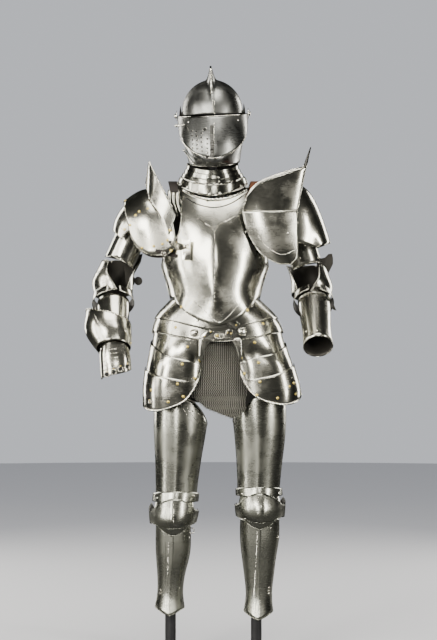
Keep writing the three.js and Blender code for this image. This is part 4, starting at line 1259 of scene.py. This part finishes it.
def soft_box(name, place, size, power):
    """A rectangular soft light that looks at the middle of the armour."""
    data = bpy.data.lights.new(name, "AREA")
    data.shape = "RECTANGLE"
    data.size, data.size_y = size
    data.energy = power
    data.color = CREAM
    light = bpy.data.objects.new(name, data)
    bpy.context.scene.collection.objects.link(light)
    light.location = place
    light.rotation_euler = (Vector((CENTRE, DEPTH, 1.0)) - Vector(place)).to_track_quat("-Z", "Y").to_euler()


class ARMOUR_OT_stage(bpy.types.Operator):
    """Set the floor, the lights and the camera"""

    bl_idname = "armour.stage"
    bl_label = "Stage"

    def execute(self, context):
        scene = context.scene
        shape = bmesh.new()
        bmesh.ops.create_circle(shape, cap_ends=True, segments=96, radius=9)
        mesh = bpy.data.meshes.new("floor")
        shape.to_mesh(mesh)
        shape.free()
        floor = bpy.data.objects.new("floor", mesh)
        scene.collection.objects.link(floor)
        material, shader = new_material("pale_floor")
        tree = material.node_tree
        reflected = add_node(tree, "ShaderNodeLightPath").outputs["Is Glossy Ray"]
        tone = add_node(tree, "ShaderNodeMix", {
            "Factor": reflected, "A": (0.6, 0.6, 0.62, 1), "B": (0.035, 0.035, 0.032, 1)}, data_type="RGBA")
        feed(tree, shader, {"Roughness": 0.6, "Base Color": tone.outputs["Result"]})
        mesh.materials.append(material)
        floor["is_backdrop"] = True

        world = bpy.data.worlds.new("studio")
        world.use_nodes = True
        scene.world = world
        tree = world.node_tree
        seen = tree.nodes["Background"]
        seen.inputs["Color"].default_value = (0.6, 0.62, 0.66, 1)
        around = add_node(tree, "ShaderNodeBackground", {"Color": (0.014, 0.015, 0.013, 1), "Strength": 1.0})
        reflected = add_node(tree, "ShaderNodeLightPath").outputs["Is Glossy Ray"]
        mix = add_node(tree, "ShaderNodeMixShader", {
            "Fac": reflected, 1: seen.outputs[0], 2: around.outputs[0]})
        feed(tree, tree.nodes["World Output"], {"Surface": mix.outputs[0]})

        for light in LIGHTS:
            soft_box(*light)

        lens = bpy.data.cameras.new("view")
        lens.lens, lens.sensor_width = FOCAL_LENGTH, SENSOR_WIDTH
        camera = bpy.data.objects.new("view", lens)
        scene.collection.objects.link(camera)
        camera.location = EYE
        camera.rotation_euler = (math.pi / 2, 0, 0)
        scene.camera = camera
        return {"FINISHED"}


# ---------------------------------------------------------------- panel and start

PROPERTY_GROUPS = {"armour_steel": SteelSettings, "armour_fittings": FittingSettings,
                   "armour_mail": MailSettings}
OPERATORS = (ARMOUR_OT_finishes, ARMOUR_OT_plates, ARMOUR_OT_stand, ARMOUR_OT_rivets, ARMOUR_OT_rims,
             ARMOUR_OT_helmet, ARMOUR_OT_lines, ARMOUR_OT_mail, ARMOUR_OT_straps, ARMOUR_OT_hand,
             ARMOUR_OT_wings, ARMOUR_OT_stage)


class ARMOUR_PT_panel(bpy.types.Panel):
    """The steps that dress the armour"""

    bl_idname = "ARMOUR_PT_panel"
    bl_label = "Suit of Armour"
    bl_space_type = "VIEW_3D"
    bl_region_type = "UI"
    bl_category = "Armour"

    def draw(self, context):
        for operator in OPERATORS:
            self.layout.operator(operator.bl_idname)


def register():
    for name, group in PROPERTY_GROUPS.items():
        bpy.utils.register_class(group)
        setattr(bpy.types.Scene, name, PointerProperty(type=group))
    for one in OPERATORS + (ARMOUR_PT_panel,):
        bpy.utils.register_class(one)


def unregister():
    for one in reversed(OPERATORS + (ARMOUR_PT_panel,)):
        bpy.utils.unregister_class(one)
    for name, group in reversed(PROPERTY_GROUPS.items()):
        delattr(bpy.types.Scene, name)
        bpy.utils.unregister_class(group)


def main():
    register()
    for operator in OPERATORS:
        group, name = operator.bl_idname.split(".")
        getattr(getattr(bpy.ops, group), name)()
    boxes = {"cad": CAD_BOX, "visual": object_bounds()}
    {name: [list(corner) for corner in box] for name, box in boxes.items()}


if __name__ == "__main__":
    main()
